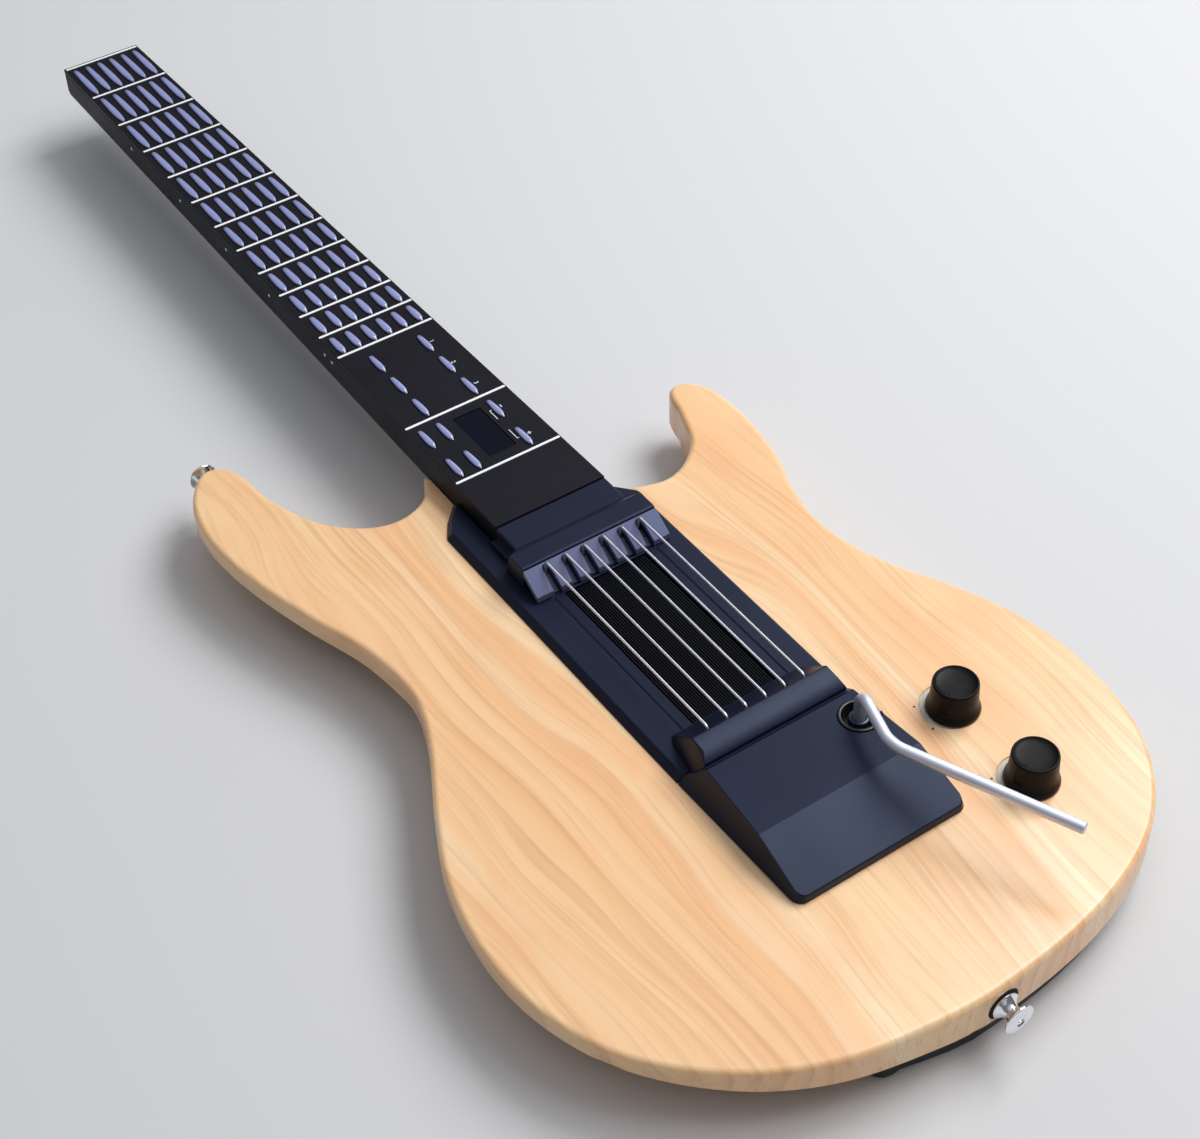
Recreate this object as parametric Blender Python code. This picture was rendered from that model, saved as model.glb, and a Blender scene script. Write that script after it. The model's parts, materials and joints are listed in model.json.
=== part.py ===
"""Digital guitar: a solid wood body, a hollow neck of sprung keys and six plucked trigger strings.

Sizes are millimetres and become metres when a mesh is made. +Z is up and the neck points along +Y.
The origin is on the flat back, on the centre line, where the string scale ends.
"""

import math

import bmesh
import bpy
from mathutils import Matrix, Vector

MM = 0.001
GAP = 0.3  # between pieces that rest on each other
RUN = 0.3  # between pieces that move past each other

# Heights above the flat back
COVER_DEPTH = 10.0
WOOD_THICKNESS = 24.0
WOOD_TOP = COVER_DEPTH + WOOD_THICKNESS
DECK_RISE = 4.3
DECK_TOP = WOOD_TOP + DECK_RISE
PANEL_RISE = 14.4
PANEL_TOP = WOOD_TOP + PANEL_RISE
STRING_RISE = 2.6
STRING_HEIGHT = PANEL_TOP + STRING_RISE

# Neck and keys
SCALE_LENGTH = 648.0
FRETS = 12
LAST_FRET_Y = 324.0
NUT_Y = LAST_FRET_Y + SCALE_LENGTH * (1 - 2 ** (-FRETS / 12))
STRINGS = 6
NUT_OVERHANG = 2.0
NECK_HALF_AT_NUT = 23.0
NECK_TAPER = 0.01466  # half width gained for each millimetre towards the body
NECK_END = 176.3
NECK_DEPTH = 21.4
NECK_BACK_RADIUS = 8.0
NECK_WALL = 2.5
NECK_RIM = 1.4  # wall beside the keys
TONGUE_LENGTH = 66.0
TONGUE_HALF = 28.0
PANEL_THICKNESS = 2.0
BOARD_THICKNESS = 1.6
KEY_TRAVEL = 1.0
KEY_RISE = 1.2
KEY_STRIP = 1.3
KEY_WIDTH = 4.5
KEY_GAP_ABOVE_FRET = 3.3  # on the nut side of a key
KEY_GAP_BELOW_FRET = 1.1  # on the body side of a key
LINE_MARGIN = 0.6  # between a fret line's end and the neck's edge
KEY_STRIP_EDGE = 0.6
KEY_STRIP_ENDS = 0.8
KEY_CREST_SHARE = 0.5  # of the key's width
KEY_POINT = 0.55  # length of the blunt point for each millimetre of half width
NECK_BOTTOM = PANEL_TOP - GAP - NECK_DEPTH
TONGUE_TOP = WOOD_TOP - GAP
CONTROL_LENGTH = 15.0
CONTROL_WIDTH = 3.8
CONTROL_FLANGE = 1.2
CONTROL_KEYS = (
    ("select_key_1", -13.5, 308.5), ("select_key_2", -13.5, 288.1), ("select_key_3", -13.5, 267.8),
    ("mode_key_1", 14.1, 308.5), ("mode_key_2", 14.1, 288.1), ("mode_key_3", 14.1, 267.8),
    ("setup_key_1", -23.4, 245.8), ("setup_key_2", -23.4, 221.2),
    ("setup_key_3", -13.5, 245.8), ("setup_key_4", -13.5, 221.2),
    ("value_key_minus", 15.2, 246.0), ("value_key_plus", 15.2, 221.3),
)
WINDOW_CENTRE = (1.8, 235.0)
WINDOW_SIZE = (15.0, 32.6)

# Wood body
EDGE_HIGHLIGHT = 1.0  # the landmarks lie on the bright edge, this far inside the side
TOP_ROUND = 3.0
TREBLE_BEVEL = 4.5  # height of the bevel under the edge
BASS_BEVEL = 15.7
BEVEL_WIDENS = (-15.0, -140.0)  # X from the first height to the second
BEVEL_FADES = (268.0, 300.0)  # Y where it shrinks again towards the horn's strap button
BOUT_LEAN = 1.1  # inset of the bevel for each millimetre of height
HORN_LEAN = 0.6
LEAN_CHANGES = (150.0, 210.0)
OUTLINE_STEP = 12.0
CAVITY_SKIN = 5.3
CAVITY_ROOF = WOOD_TOP - CAVITY_SKIN
CAVITY_OUTLINE = (
    (-57.5, -78.0), (-40.0, -96.0), (0.0, -106.0), (84.0, -94.0), (110.2, -58.0),
    (110.2, 44.0), (90.0, 66.0), (84.0, 103.0), (-57.5, 103.0),
)
CAVITY_RADIUS = 6.0
LEFT_CUSP = (-30.2, 238.0)
RIGHT_CUSP = (38.5, 177.6)
BODY_LANDMARKS = (
    LEFT_CUSP, (-38.4, 226.0), (-54.9, 220.2), (-71.3, 225.3), (-87.3, 241.9), (-97.8, 269.0),
    (-102.0, 295.0), (-111.5, 303.3), (-122.5, 295.0), (-130.6, 278.0), (-133.0, 255.0),
    (-129.5, 225.8), (-120.4, 190.4), (-110.1, 158.8), (-106.4, 129.0), (-108.9, 112.0),
    (-117.5, 90.8), (-135.2, 57.2), (-148.6, 25.7), (-154.6, -12.0), (-151.1, -46.0),
    (-137.4, -78.1), (-109.0, -107.2), (-74.7, -125.2), (-32.8, -133.6), (0.0, -135.3),
    (49.5, -129.7), (89.5, -115.9), (115.4, -95.0), (131.5, -67.0), (138.1, -30.0),
    (136.4, 0.6), (126.5, 32.4), (107.8, 72.1), (101.4, 103.5), (104.9, 128.7), (114.4, 155.8),
    (119.5, 188.5), (118.0, 212.0), (111.5, 222.0), (102.0, 222.8), (95.9, 205.6),
    (85.8, 183.6), (64.2, 170.9), RIGHT_CUSP,
)
NECK_CORNER = (30.2, 187.0)
POCKET_BEYOND = 20.0  # the neck pocket's cutter runs out past the left cusp
SEAT_BEYOND = 6.0  # a strap seat's cutter runs out of the wood's side

# String deck, bridge block and comb
DECK_HALF = 45.0
DECK_SLOPE = 2.8
DECK_LEFT_SHOULDERS = ((-45.0, 195.1), (-39.2, 204.3))
DECK_LEFT_TOE = 213.5
DECK_RIGHT_SHOULDERS = ((46.0, 169.0), (45.0, 158.0))
DECK_RIGHT_TOE = 187.0
DECK_CORNER_RADIUS = 3.0
SEAM_Y = 15.5  # where the tail block takes over from the deck
BLOCK_FRONT = 144.3
BLOCK_RISE = 1.7
BLOCK_TOP = PANEL_TOP + BLOCK_RISE
BLOCK_SHOULDER = 155.5
BLOCK_SLOPE_END = (29.6, 159.0)
BLOCK_BASE_HALF = 33.0
BLOCK_SOFT = 0.7
COMB_HALF = 36.0
COMB_TOP_EDGE = (144.0, 0.8)  # Y, and height over the panel
COMB_LOW_EDGE = (132.8, -6.8)
COMB_THICKNESS = 3.1
COMB_SLOT_WIDTH = 3.6
COMB_SLOT_END = 142.5
BED_MARGIN = 0.6  # between the bed's opening and the ridge or comb
RAIL_GROOVE = (27.8, 0.6, 0.5)  # place, width and depth of the groove on each side
RIB_BED_HALF = 22.0
RIB_BED_PITCH = 2.75
RIB_BED_PLATE = 1.2
RIB_HEIGHT = 1.6

# Strings
STRING_PITCH = 10.06
STRING_RADIUS = 0.6
STRING_BEND = 2.4
STRING_TAIL_Y = 21.6
STRING_SINK = 6.0

# Tail block
TAIL_FOOT_END = -62.0
TAIL_TOP_FRONT = (38.3, 5.4)
TAIL_CREASE_HALF = 41.6
TAIL_CREASE_Y = -33.4
TAIL_CORNER_RADIUS = 8.0
RIDGE_FOOT_Y = 35.5
RIDGE_RISE = 4.2
RIDGE_TOP = PANEL_TOP + RIDGE_RISE
RIDGE_FALL = 0.9
RIDGE_CREST = RIDGE_TOP - RIDGE_FALL
RIDGE_HALF = 38.7
RIDGE_TOP_HALF = 35.1
RIDGE_TOP_Y = (19.5, 12.0)
RIDGE_HEEL_Y = 8.0

# Tremolo arm and its socket
ARM_TO_DECK_EDGE = 14.3
ARM_PIVOT = (DECK_HALF - ARM_TO_DECK_EDGE, -7.6)
ARM_RADIUS = 2.6
ARM_RISE = 14.0
ARM_HEIGHT = PANEL_TOP + ARM_RISE
ARM_ELBOW = (ARM_PIVOT[0] - 8.5, ARM_PIVOT[1] - 28.3)
ARM_TIP = (ARM_PIVOT[0] + 24.7, ARM_PIVOT[1] - 105.3)
ARM_BENDS = (7.0, 16.0)
SOCKET_RADIUS = 9.0
SOCKET_WALL = 1.5
SOCKET_DEPTH = 10.3
SOCKET_LIP = 0.5
ROCKER_RADIUS = 4.4
ROCKER_DROP = 5.0
ROCKER_AXIS = PANEL_TOP - ROCKER_DROP
TRUNNION_RADIUS = 1.0

# Knobs and potentiometers
KNOB_CENTRES = ((74.6, -17.5), (74.5, -66.3))
KNOB_HEIGHT = 15.4
KNOB_TOP_RADIUS = 10.0
KNOB_SKIRT_RADIUS = 11.8
KNOB_SKIRT_HEIGHT = 5.0
KNOB_DISH = 1.2
KNOB_LIFT = 0.5
SPINDLE_RADIUS = 3.0
BUSHING_RADIUS = 4.5
POT_RADIUS = 8.2
POT_HEIGHT = 8.0
SPOTFACE_RADIUS = 13.8
SPOTFACE_DEPTH = 0.8

# Rear cover, battery bay and its lid
COVER_PROUD = 0.95  # the cover's edge beyond the wood's flat underside
COVER_WALL = 2.6
COVER_FLOOR = 3.2
COVER_EDGE_ROUND = 1.6
COVER_CORNER = (-54.0, -127.0)
COVER_CORNER_REACH = 20.0  # the cover joins the wood's edge within this of its corner
COVER_CORNER_RADIUS = 7.0
COVER_LEFT = -64.0
COVER_LEFT_END = 190.0
COVER_RIGHT_END = 150.0
COVER_SHOULDERS = ((30.0, 0.0), (12.0, 26.0), (42.0, 26.0))  # cut-off corners of its left side
CELL_RADIUS = 7.1
CELL_LENGTH = 49.3
CELL_NUB = 1.0
CELL_NUB_RADIUS = 2.7
CELLS_IN_ROW = 3
BAY_CENTRE = (-35.0, 18.0)
BAY_CLEARANCE = 0.5
BAY_SPRING_ROOM = 4.4
BAY_RIM = 4.8
BAY_ROOF = 1.5
LID_THICKNESS = 2.4
LID_RECESS = 0.4
LID_OVERLAP = 2.6
LID_PEG_RADIUS = 0.8
LID_PEG_LENGTH = 1.4

# Jack recess in the side of the body, its panel and the power switch
RECESS_Y = (-30.4, 38.4)
RECESS_INNER = 109.6
RECESS_SKIN = 6.0
RECESS_ROOF = WOOD_TOP - RECESS_SKIN
RECESS_OUTER = 160.0
JACK_PANEL_THICKNESS = 3.0
DIN_RADIUS = 7.8
DIN_CENTRES = (11.0, -9.0)
DIN_DEPTH = 9.0
PHONES_RADIUS = 3.3
PHONES_CENTRE = 28.0
PHONES_DEPTH = 14.0
SUPPLY_RADIUS = 3.2
SUPPLY_CENTRE = (-24.0, 8.6)
SWITCH_CENTRE = (-24.0, 19.8)
SWITCH_SLOT_WIDTH = 4.4
SWITCH_BUTTON = 4.0
SWITCH_TRAVEL = 3.6
SWITCH_RISE = 2.4
SWITCH_FLANGE = 1.0
SOCKET_SHELL = 1.4

# Main board
MAIN_BOARD = ((-6.0, -80.0), (82.0, 56.0))
MAIN_BOARD_HEIGHT = 14.0
MAIN_BOARD_CORNER = 5.0
CHIPS = (((20, 20), (20, 20)), ((22, -20), (14, 28)), ((40, -55), (28, 14)), ((60, 30), (12, 12)))
CHIP_HEIGHT = 2.4
POST_RADIUS = 3.5
POST_INSET = 6.0

# Strap buttons
STRAP_HEIGHT = COVER_DEPTH + WOOD_THICKNESS / 2
STRAP_PLACES = (("end", -2.0, -1.0), ("horn", -111.0, 1.0))  # X, and the way each points along Y
WASHER_RADIUS = 7.4
WASHER_THICKNESS = 1.6
STRAP_LENGTH = 9.2
STRAP_WAIST_RADIUS = 3.2
STRAP_FLANGE_RADIUS = 7.0
STRAP_SHANK_RADIUS = 2.0
STRAP_SHANK_LENGTH = 16.0


def fret_y(number):
    """Place of a fret line along the neck; fret 0 is the nut."""
    return NUT_Y - SCALE_LENGTH * (1 - 2 ** (-number / 12))


def neck_half(y):
    return NECK_HALF_AT_NUT + NECK_TAPER * (NUT_Y - y)


def string_x(number):
    return (number - (STRINGS - 1) / 2) * STRING_PITCH


def make_material(name, colour, roughness, metallic=0.0):
    made = bpy.data.materials.new(name)
    made.use_nodes = True
    surface = made.node_tree.nodes["Principled BSDF"]
    surface.inputs["Base Color"].default_value = (*colour, 1.0)
    surface.inputs["Roughness"].default_value = roughness
    surface.inputs["Metallic"].default_value = metallic
    made.diffuse_color = (*colour, 1.0)
    return made


def add_solid(name, mesh, material, origin=(0.0, 0.0, 0.0)):
    """Turns a bmesh in millimetres into an object whose origin is at the given point."""
    bmesh.ops.recalc_face_normals(mesh, faces=mesh.faces)
    bmesh.ops.translate(mesh, vec=-Vector(origin), verts=mesh.verts)
    bmesh.ops.scale(mesh, vec=(MM, MM, MM), verts=mesh.verts)
    data = bpy.data.meshes.new(name)
    mesh.to_mesh(data)
    mesh.free()
    data.shade_smooth()
    data.set_sharp_from_angle(angle=math.radians(35))
    made = bpy.data.objects.new(name, data)
    made.location = Vector(origin) * MM
    made.data.materials.append(material)
    bpy.context.scene.collection.objects.link(made)
    return made


def shape_with(target, mesh, operation):
    """Adds or cuts a shape with a Boolean that stays on the object."""
    helper = add_solid(f"{target.name}_{operation.lower()}", mesh, target.data.materials[0])
    helper.hide_render = True
    helper.display_type = "WIRE"
    boolean = target.modifiers.new(operation.lower(), "BOOLEAN")
    boolean.operation = operation
    boolean.solver = "EXACT"
    boolean.object = helper


def cut(target, *meshes):
    for mesh in meshes:
        shape_with(target, mesh, "DIFFERENCE")


def join(target, *meshes):
    for mesh in meshes:
        shape_with(target, mesh, "UNION")


def loft(loops):
    """A closed solid through loops of equal length, each a list of (x, y, z)."""
    mesh = bmesh.new()
    rings = [[mesh.verts.new(point) for point in loop] for loop in loops]
    for low, high in zip(rings, rings[1:]):
        for i in range(len(low)):
            j = (i + 1) % len(low)
            mesh.faces.new((low[i], low[j], high[j], high[i]))
    mesh.faces.new(reversed(rings[0]))
    mesh.faces.new(rings[-1])
    return mesh


def at_height(outline, z):
    return [(x, y, z) for x, y in outline]


def prism(outline, low, high):
    return loft([at_height(outline, low), at_height(outline, high)])


def across(section, half):
    """A prism along X from a section given as (y, z)."""
    return loft([[(-half, y, z) for y, z in section], [(half, y, z) for y, z in section]])


def box(low, high):
    (x0, y0, z0), (x1, y1, z1) = low, high
    return prism([(x0, y0), (x1, y0), (x1, y1), (x0, y1)], z0, z1)


def hull(points):
    mesh = bmesh.new()
    verts = [mesh.verts.new(point) for point in points]
    bmesh.ops.convex_hull(mesh, input=verts)
    return mesh


def turned(profile, segments, place=None):
    """A solid of revolution about Z from (radius, height) points; place moves it into position."""
    mesh = bmesh.new()
    rings = []
    for radius, height in profile:
        if radius == 0:
            rings.append([mesh.verts.new((0, 0, height))])
            continue
        angles = [2 * math.pi * k / segments for k in range(segments)]
        ring = [(radius * math.cos(a), radius * math.sin(a), height) for a in angles]
        rings.append([mesh.verts.new(point) for point in ring])
    for low, high in zip(rings, rings[1:]):
        for i in range(segments):
            j = (i + 1) % segments
            corners = [low[i % len(low)], low[j % len(low)], high[j % len(high)], high[i % len(high)]]
            mesh.faces.new(list(dict.fromkeys(corners)))
    for ring in (rings[0], rings[-1]):
        if len(ring) > 1:
            mesh.faces.new(ring)
    if place is not None:
        bmesh.ops.transform(mesh, matrix=place, verts=mesh.verts)
    return mesh


def moved(x, y, z=0.0):
    return Matrix.Translation((x, y, z))


def ramp(value, start, end):
    return min(1.0, max(0.0, (value - start) / (end - start)))


def pin(radius, start, end, segments=12):
    """A straight round pin between two points."""
    start, end = Vector(start), Vector(end)
    turn = (end - start).to_track_quat("Z", "Y").to_matrix().to_4x4()
    profile = [(radius, 0.0), (radius, (end - start).length)]
    return turned(profile, segments, Matrix.Translation(start) @ turn)


def smooth_through(points, step):
    """Points about one step apart on a smooth open curve through the landmarks."""
    padded = [points[0], *points, points[-1]]
    found = []
    for p0, p1, p2, p3 in zip(padded, padded[1:], padded[2:], padded[3:]):
        a, b, c, d = (Vector(p) for p in (p0, p1, p2, p3))
        pieces = max(1, round((c - b).length / step))
        scale = (c - b).length
        into = (c - a).normalized() * scale
        out = (d - b).normalized() * scale
        for k in range(pieces):
            t = k / pieces
            place = (2 * t**3 - 3 * t**2 + 1) * b + (t**3 - 2 * t**2 + t) * into
            place += (3 * t**2 - 2 * t**3) * c + (t**3 - t**2) * out
            found.append((place.x, place.y))
    return [*found, tuple(points[-1])]


def rounded(corners, radius, pieces=4, only=None):
    """An outline with its corners rounded; only lists the ones that are, if not all of them."""
    outline = []
    count = len(corners)
    for i, corner in enumerate(corners):
        here = Vector(corner)
        if only is not None and i not in only:
            outline.append(tuple(here))
            continue
        back = (Vector(corners[i - 1]) - here).normalized()
        ahead = (Vector(corners[(i + 1) % count]) - here).normalized()
        half = back.angle(ahead) / 2
        centre = here + (back + ahead).normalized() * radius / math.sin(half)
        start = here + back * radius / math.tan(half) - centre
        end = here + ahead * radius / math.tan(half) - centre
        sweep = start.angle_signed(end)
        for k in range(pieces + 1):
            point = centre + Matrix.Rotation(-sweep * k / pieces, 2) @ start
            outline.append((point.x, point.y))
    return outline


def inward(outline):
    """For each corner, the step that moves both of its sides inwards by one, whichever way it runs."""
    count = len(outline)
    area = sum(
        outline[i][0] * outline[(i + 1) % count][1] - outline[(i + 1) % count][0] * outline[i][1]
        for i in range(count)
    )
    side = 1.0 if area > 0 else -1.0
    steps = []
    for i in range(count):
        here = Vector(outline[i])
        before = (here - Vector(outline[i - 1])).normalized()
        after = (Vector(outline[(i + 1) % count]) - here).normalized()
        normal = Vector((-before.y - after.y, before.x + after.x)).normalized() * side
        steps.append(normal / max(0.7, normal.dot(Vector((-after.y, after.x)) * side)))
    return steps


def inset(outline, distance):
    steps = inward(outline)
    return [(x + step.x * distance, y + step.y * distance) for (x, y), step in zip(outline, steps)]


def body_outline():
    edge = smooth_through(BODY_LANDMARKS, OUTLINE_STEP)
    return inset([*edge, NECK_CORNER], -EDGE_HIGHLIGHT)


def bevel_at(x, y):
    """(inset, height) of the bevel under the wood's edge: it grows towards the bass side."""
    deeper = ramp(x, *BEVEL_WIDENS) * (1 - ramp(y, *BEVEL_FADES))
    height = TREBLE_BEVEL + (BASS_BEVEL - TREBLE_BEVEL) * deeper
    lean = BOUT_LEAN + (HORN_LEAN - BOUT_LEAN) * ramp(y, *LEAN_CHANGES)
    return height * lean, height


def bevel_ring(outline, inset_share, height_share):
    ring = []
    for (x, y), step in zip(outline, inward(outline)):
        depth, height = bevel_at(x, y)
        depth *= inset_share
        ring.append((x + step.x * depth, y + step.y * depth, COVER_DEPTH + height * height_share))
    return ring


def quarter(radius, pieces):
    """(inset, height) steps of a rounded lower edge, from the flat out to the side."""
    steps = [math.pi / 2 * k / pieces for k in range(pieces + 1)]
    return [(radius * (1 - math.sin(a)), radius * (1 - math.cos(a))) for a in steps]


def strap_seats():
    """(name, point on the wood's side, way) of each strap button."""
    outline = body_outline()
    seats = []
    for name, x, way in STRAP_PLACES:
        crossings = []
        for (x0, y0), (x1, y1) in zip(outline, [*outline[1:], outline[0]]):
            if min(x0, x1) <= x < max(x0, x1):
                crossings.append(y0 + (y1 - y0) * (x - x0) / (x1 - x0))
        seats.append((name, (x, max(crossings, key=lambda y: y * way)), way))
    return seats


def neck_trapezium(low_y, high_y, grow):
    return [
        (-neck_half(low_y) - grow, low_y),
        (neck_half(low_y) + grow, low_y),
        (neck_half(high_y) + grow, high_y),
        (-neck_half(high_y) - grow, high_y),
    ]


def make_wood_body(wood):
    outline = body_outline()
    lower = [bevel_ring(outline, *shares) for shares in ((1.0, 0.0), (0.06, 0.92), (0.0, 1.0))]
    upper = [at_height(inset(outline, step), WOOD_TOP - z) for step, z in reversed(quarter(TOP_ROUND, 2))]
    body = add_solid("wood_body", loft(lower + upper), wood)
    below = COVER_DEPTH - 1
    above = WOOD_TOP + 1
    cut(body, prism(rounded(CAVITY_OUTLINE, CAVITY_RADIUS), below, CAVITY_ROOF))
    low, high = RECESS_Y
    cut(body, box((RECESS_INNER, low, below), (RECESS_OUTER, high, RECESS_ROOF)))
    beyond = LEFT_CUSP[1] + POCKET_BEYOND
    pocket = neck_trapezium(NECK_END - GAP, beyond, GAP)
    cut(body, prism(pocket, NECK_BOTTOM - GAP, above))
    tongue_start = NECK_END - TONGUE_LENGTH
    half = TONGUE_HALF + GAP
    low = (-half, tongue_start - GAP, NECK_BOTTOM - GAP)
    cut(body, box(low, (half, NECK_END + GAP, above)))
    for x, y in KNOB_CENTRES:
        spotface = turned([(SPOTFACE_RADIUS, WOOD_TOP - SPOTFACE_DEPTH), (SPOTFACE_RADIUS, above)], 24)
        bmesh.ops.translate(spotface, vec=(x, y, 0), verts=spotface.verts)
        hole = pin(BUSHING_RADIUS + GAP, (x, y, CAVITY_ROOF - 1), (x, y, above), 14)
        cut(body, spotface, hole)
    for _, (x, y), way in strap_seats():
        shank = STRAP_SHANK_RADIUS + GAP
        depth = STRAP_SHANK_LENGTH + GAP
        seat = WASHER_RADIUS + GAP
        start = (x, y - way * depth, STRAP_HEIGHT)
        spot = (x, y - way * WASHER_THICKNESS, STRAP_HEIGHT)
        end = (x, y + way * SEAT_BEYOND, STRAP_HEIGHT)
        cut(body, pin(shank, start, end, 10), pin(seat, spot, end, 16))


def make_neck(housing_plastic):
    top = PANEL_TOP - PANEL_THICKNESS - GAP

    def section(y):
        half = neck_half(y)
        corner = [(half - s, NECK_BOTTOM + z) for s, z in quarter(NECK_BACK_RADIUS, 4)]
        right = [*corner, (half, top)]
        return [(x, y, z) for x, z in right] + [(-x, y, z) for x, z in reversed(right)]

    nut_end = NUT_Y + NUT_OVERHANG
    housing = add_solid("neck_housing", loft([section(NECK_END), section(nut_end)]), housing_plastic)
    inner_end = nut_end - NECK_WALL
    inner_start = NECK_END + 3 * NECK_WALL
    ledge = top - KEY_STRIP - KEY_TRAVEL - 2 * GAP - BOARD_THICKNESS - GAP
    cut(
        housing,
        prism(neck_trapezium(inner_start, inner_end, -NECK_RIM), ledge, top + 1),
        prism(neck_trapezium(inner_start, inner_end, -2.4 * NECK_WALL), NECK_BOTTOM + NECK_WALL, ledge + 1),
    )
    low = (-TONGUE_HALF, NECK_END - TONGUE_LENGTH, NECK_BOTTOM)
    join(housing, box(low, (TONGUE_HALF, NECK_END + NECK_WALL, TONGUE_TOP)))


def lens(x, y, length, width, grow=0.0):
    """Plan of a key: a long bar with blunt pointed ends, running along Y."""
    half, wide = length / 2 + grow, width / 2 + grow
    shoulder = half - KEY_POINT * wide
    right = [(0, -half), (wide, -shoulder), (wide, shoulder)]
    left = [(0, half), (-wide, shoulder), (-wide, -shoulder)]
    return [(x + a, y + b) for a, b in right + left]


def key_bar(x, y, length, width, low):
    """A domed bar from below the panel to its crest above it."""
    crest = PANEL_TOP + KEY_RISE
    return loft([
        at_height(lens(x, y, length, width), low),
        at_height(lens(x, y, length, width), PANEL_TOP + 0.25 * KEY_RISE),
        at_height(lens(x, y, length - width * KEY_CREST_SHARE, width * KEY_CREST_SHARE), crest),
    ])


def fret_rows():
    """(number, middle of the keys, key length, key centres across) for each fret."""
    rows = []
    for number in range(1, FRETS + 1):
        nut_side = fret_y(number - 1) - KEY_GAP_ABOVE_FRET
        body_side = fret_y(number) + KEY_GAP_BELOW_FRET
        middle = (nut_side + body_side) / 2
        pitch = 2 * (neck_half(middle) - LINE_MARGIN) / (STRINGS + 0.1)
        centres = [(k - (STRINGS - 1) / 2) * pitch for k in range(STRINGS)]
        rows.append((number, middle, nut_side - body_side, centres))
    return rows


def add_plate(name, outer, holes, low, high, material):
    """A flat plate with openings, from filled flat curves."""
    data = bpy.data.curves.new(name, "CURVE")
    data.dimensions = "2D"
    data.fill_mode = "BOTH"
    data.extrude = (high - low) / 2 * MM
    for outline in (outer, *holes):
        spline = data.splines.new("POLY")
        spline.points.add(len(outline) - 1)
        for point, (x, y) in zip(spline.points, outline):
            point.co = (x * MM, y * MM, 0, 1)
        spline.use_cyclic_u = True
    made = bpy.data.objects.new(name, data)
    made.location.z = (low + high) / 2 * MM
    data.materials.append(material)
    bpy.context.scene.collection.objects.link(made)
    return made


def window_outline(grow):
    (x, y), (width, length) = WINDOW_CENTRE, WINDOW_SIZE
    a, b = width / 2 + grow, length / 2 + grow
    return rounded([(x - a, y - b), (x + a, y - b), (x + a, y + b), (x - a, y + b)], 1.0, 2)


def make_fret_panel(panel_plastic):
    holes = [window_outline(GAP)]
    for _, middle, length, centres in fret_rows():
        holes += [lens(x, middle, length, KEY_WIDTH, RUN) for x in centres]
    holes += [lens(x, y, CONTROL_LENGTH, CONTROL_WIDTH, RUN) for _, x, y in CONTROL_KEYS]
    outer = neck_trapezium(NECK_END, NUT_Y + NUT_OVERHANG, 0)
    add_plate("fret_panel", outer, holes, PANEL_TOP - PANEL_THICKNESS, PANEL_TOP, panel_plastic)


def make_keys(key_rubber):
    strip_top = PANEL_TOP - PANEL_THICKNESS - GAP
    strip_low = strip_top - KEY_STRIP
    for number, middle, length, centres in fret_rows():
        half = centres[-1] + KEY_WIDTH / 2 + KEY_STRIP_EDGE
        reach = length / 2 + KEY_STRIP_ENDS
        low = (-half, middle - reach, strip_low)
        high = (half, middle + reach, strip_top)
        row = add_solid(f"fret_key_row_{number:02d}", box(low, high), key_rubber, (0, middle, strip_low))
        bars = bmesh.new()
        for x in centres:
            bar = key_bar(x, middle, length, KEY_WIDTH, strip_low + KEY_STRIP / 2)
            data = bpy.data.meshes.new("bar")
            bar.to_mesh(data)
            bar.free()
            bars.from_mesh(data)
            bpy.data.meshes.remove(data)
        join(row, bars)
    for name, x, y in CONTROL_KEYS:
        flange = lens(x, y, CONTROL_LENGTH, CONTROL_WIDTH, CONTROL_FLANGE)
        key = add_solid(name, prism(flange, strip_low, strip_top), key_rubber, (x, y, strip_low))
        join(key, key_bar(x, y, CONTROL_LENGTH, CONTROL_WIDTH, strip_low + KEY_STRIP / 2))


def make_display(glass, display_dark, board_green):
    board_top = PANEL_TOP - PANEL_THICKNESS - GAP - KEY_STRIP - KEY_TRAVEL - GAP
    board_ends = (NECK_END + 4 * NECK_WALL, NUT_Y + NUT_OVERHANG - 2 * NECK_WALL)
    outline = neck_trapezium(*board_ends, -NECK_RIM - GAP)
    add_solid("key_board", prism(outline, board_top - BOARD_THICKNESS, board_top), board_green)
    panel_bottom = PANEL_TOP - PANEL_THICKNESS
    window = prism(window_outline(0), panel_bottom + GAP, PANEL_TOP)
    add_solid("display_window", window, glass)
    module = prism(window_outline(-1.0), board_top + GAP, panel_bottom)
    add_solid("display_module", module, display_dark)


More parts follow.
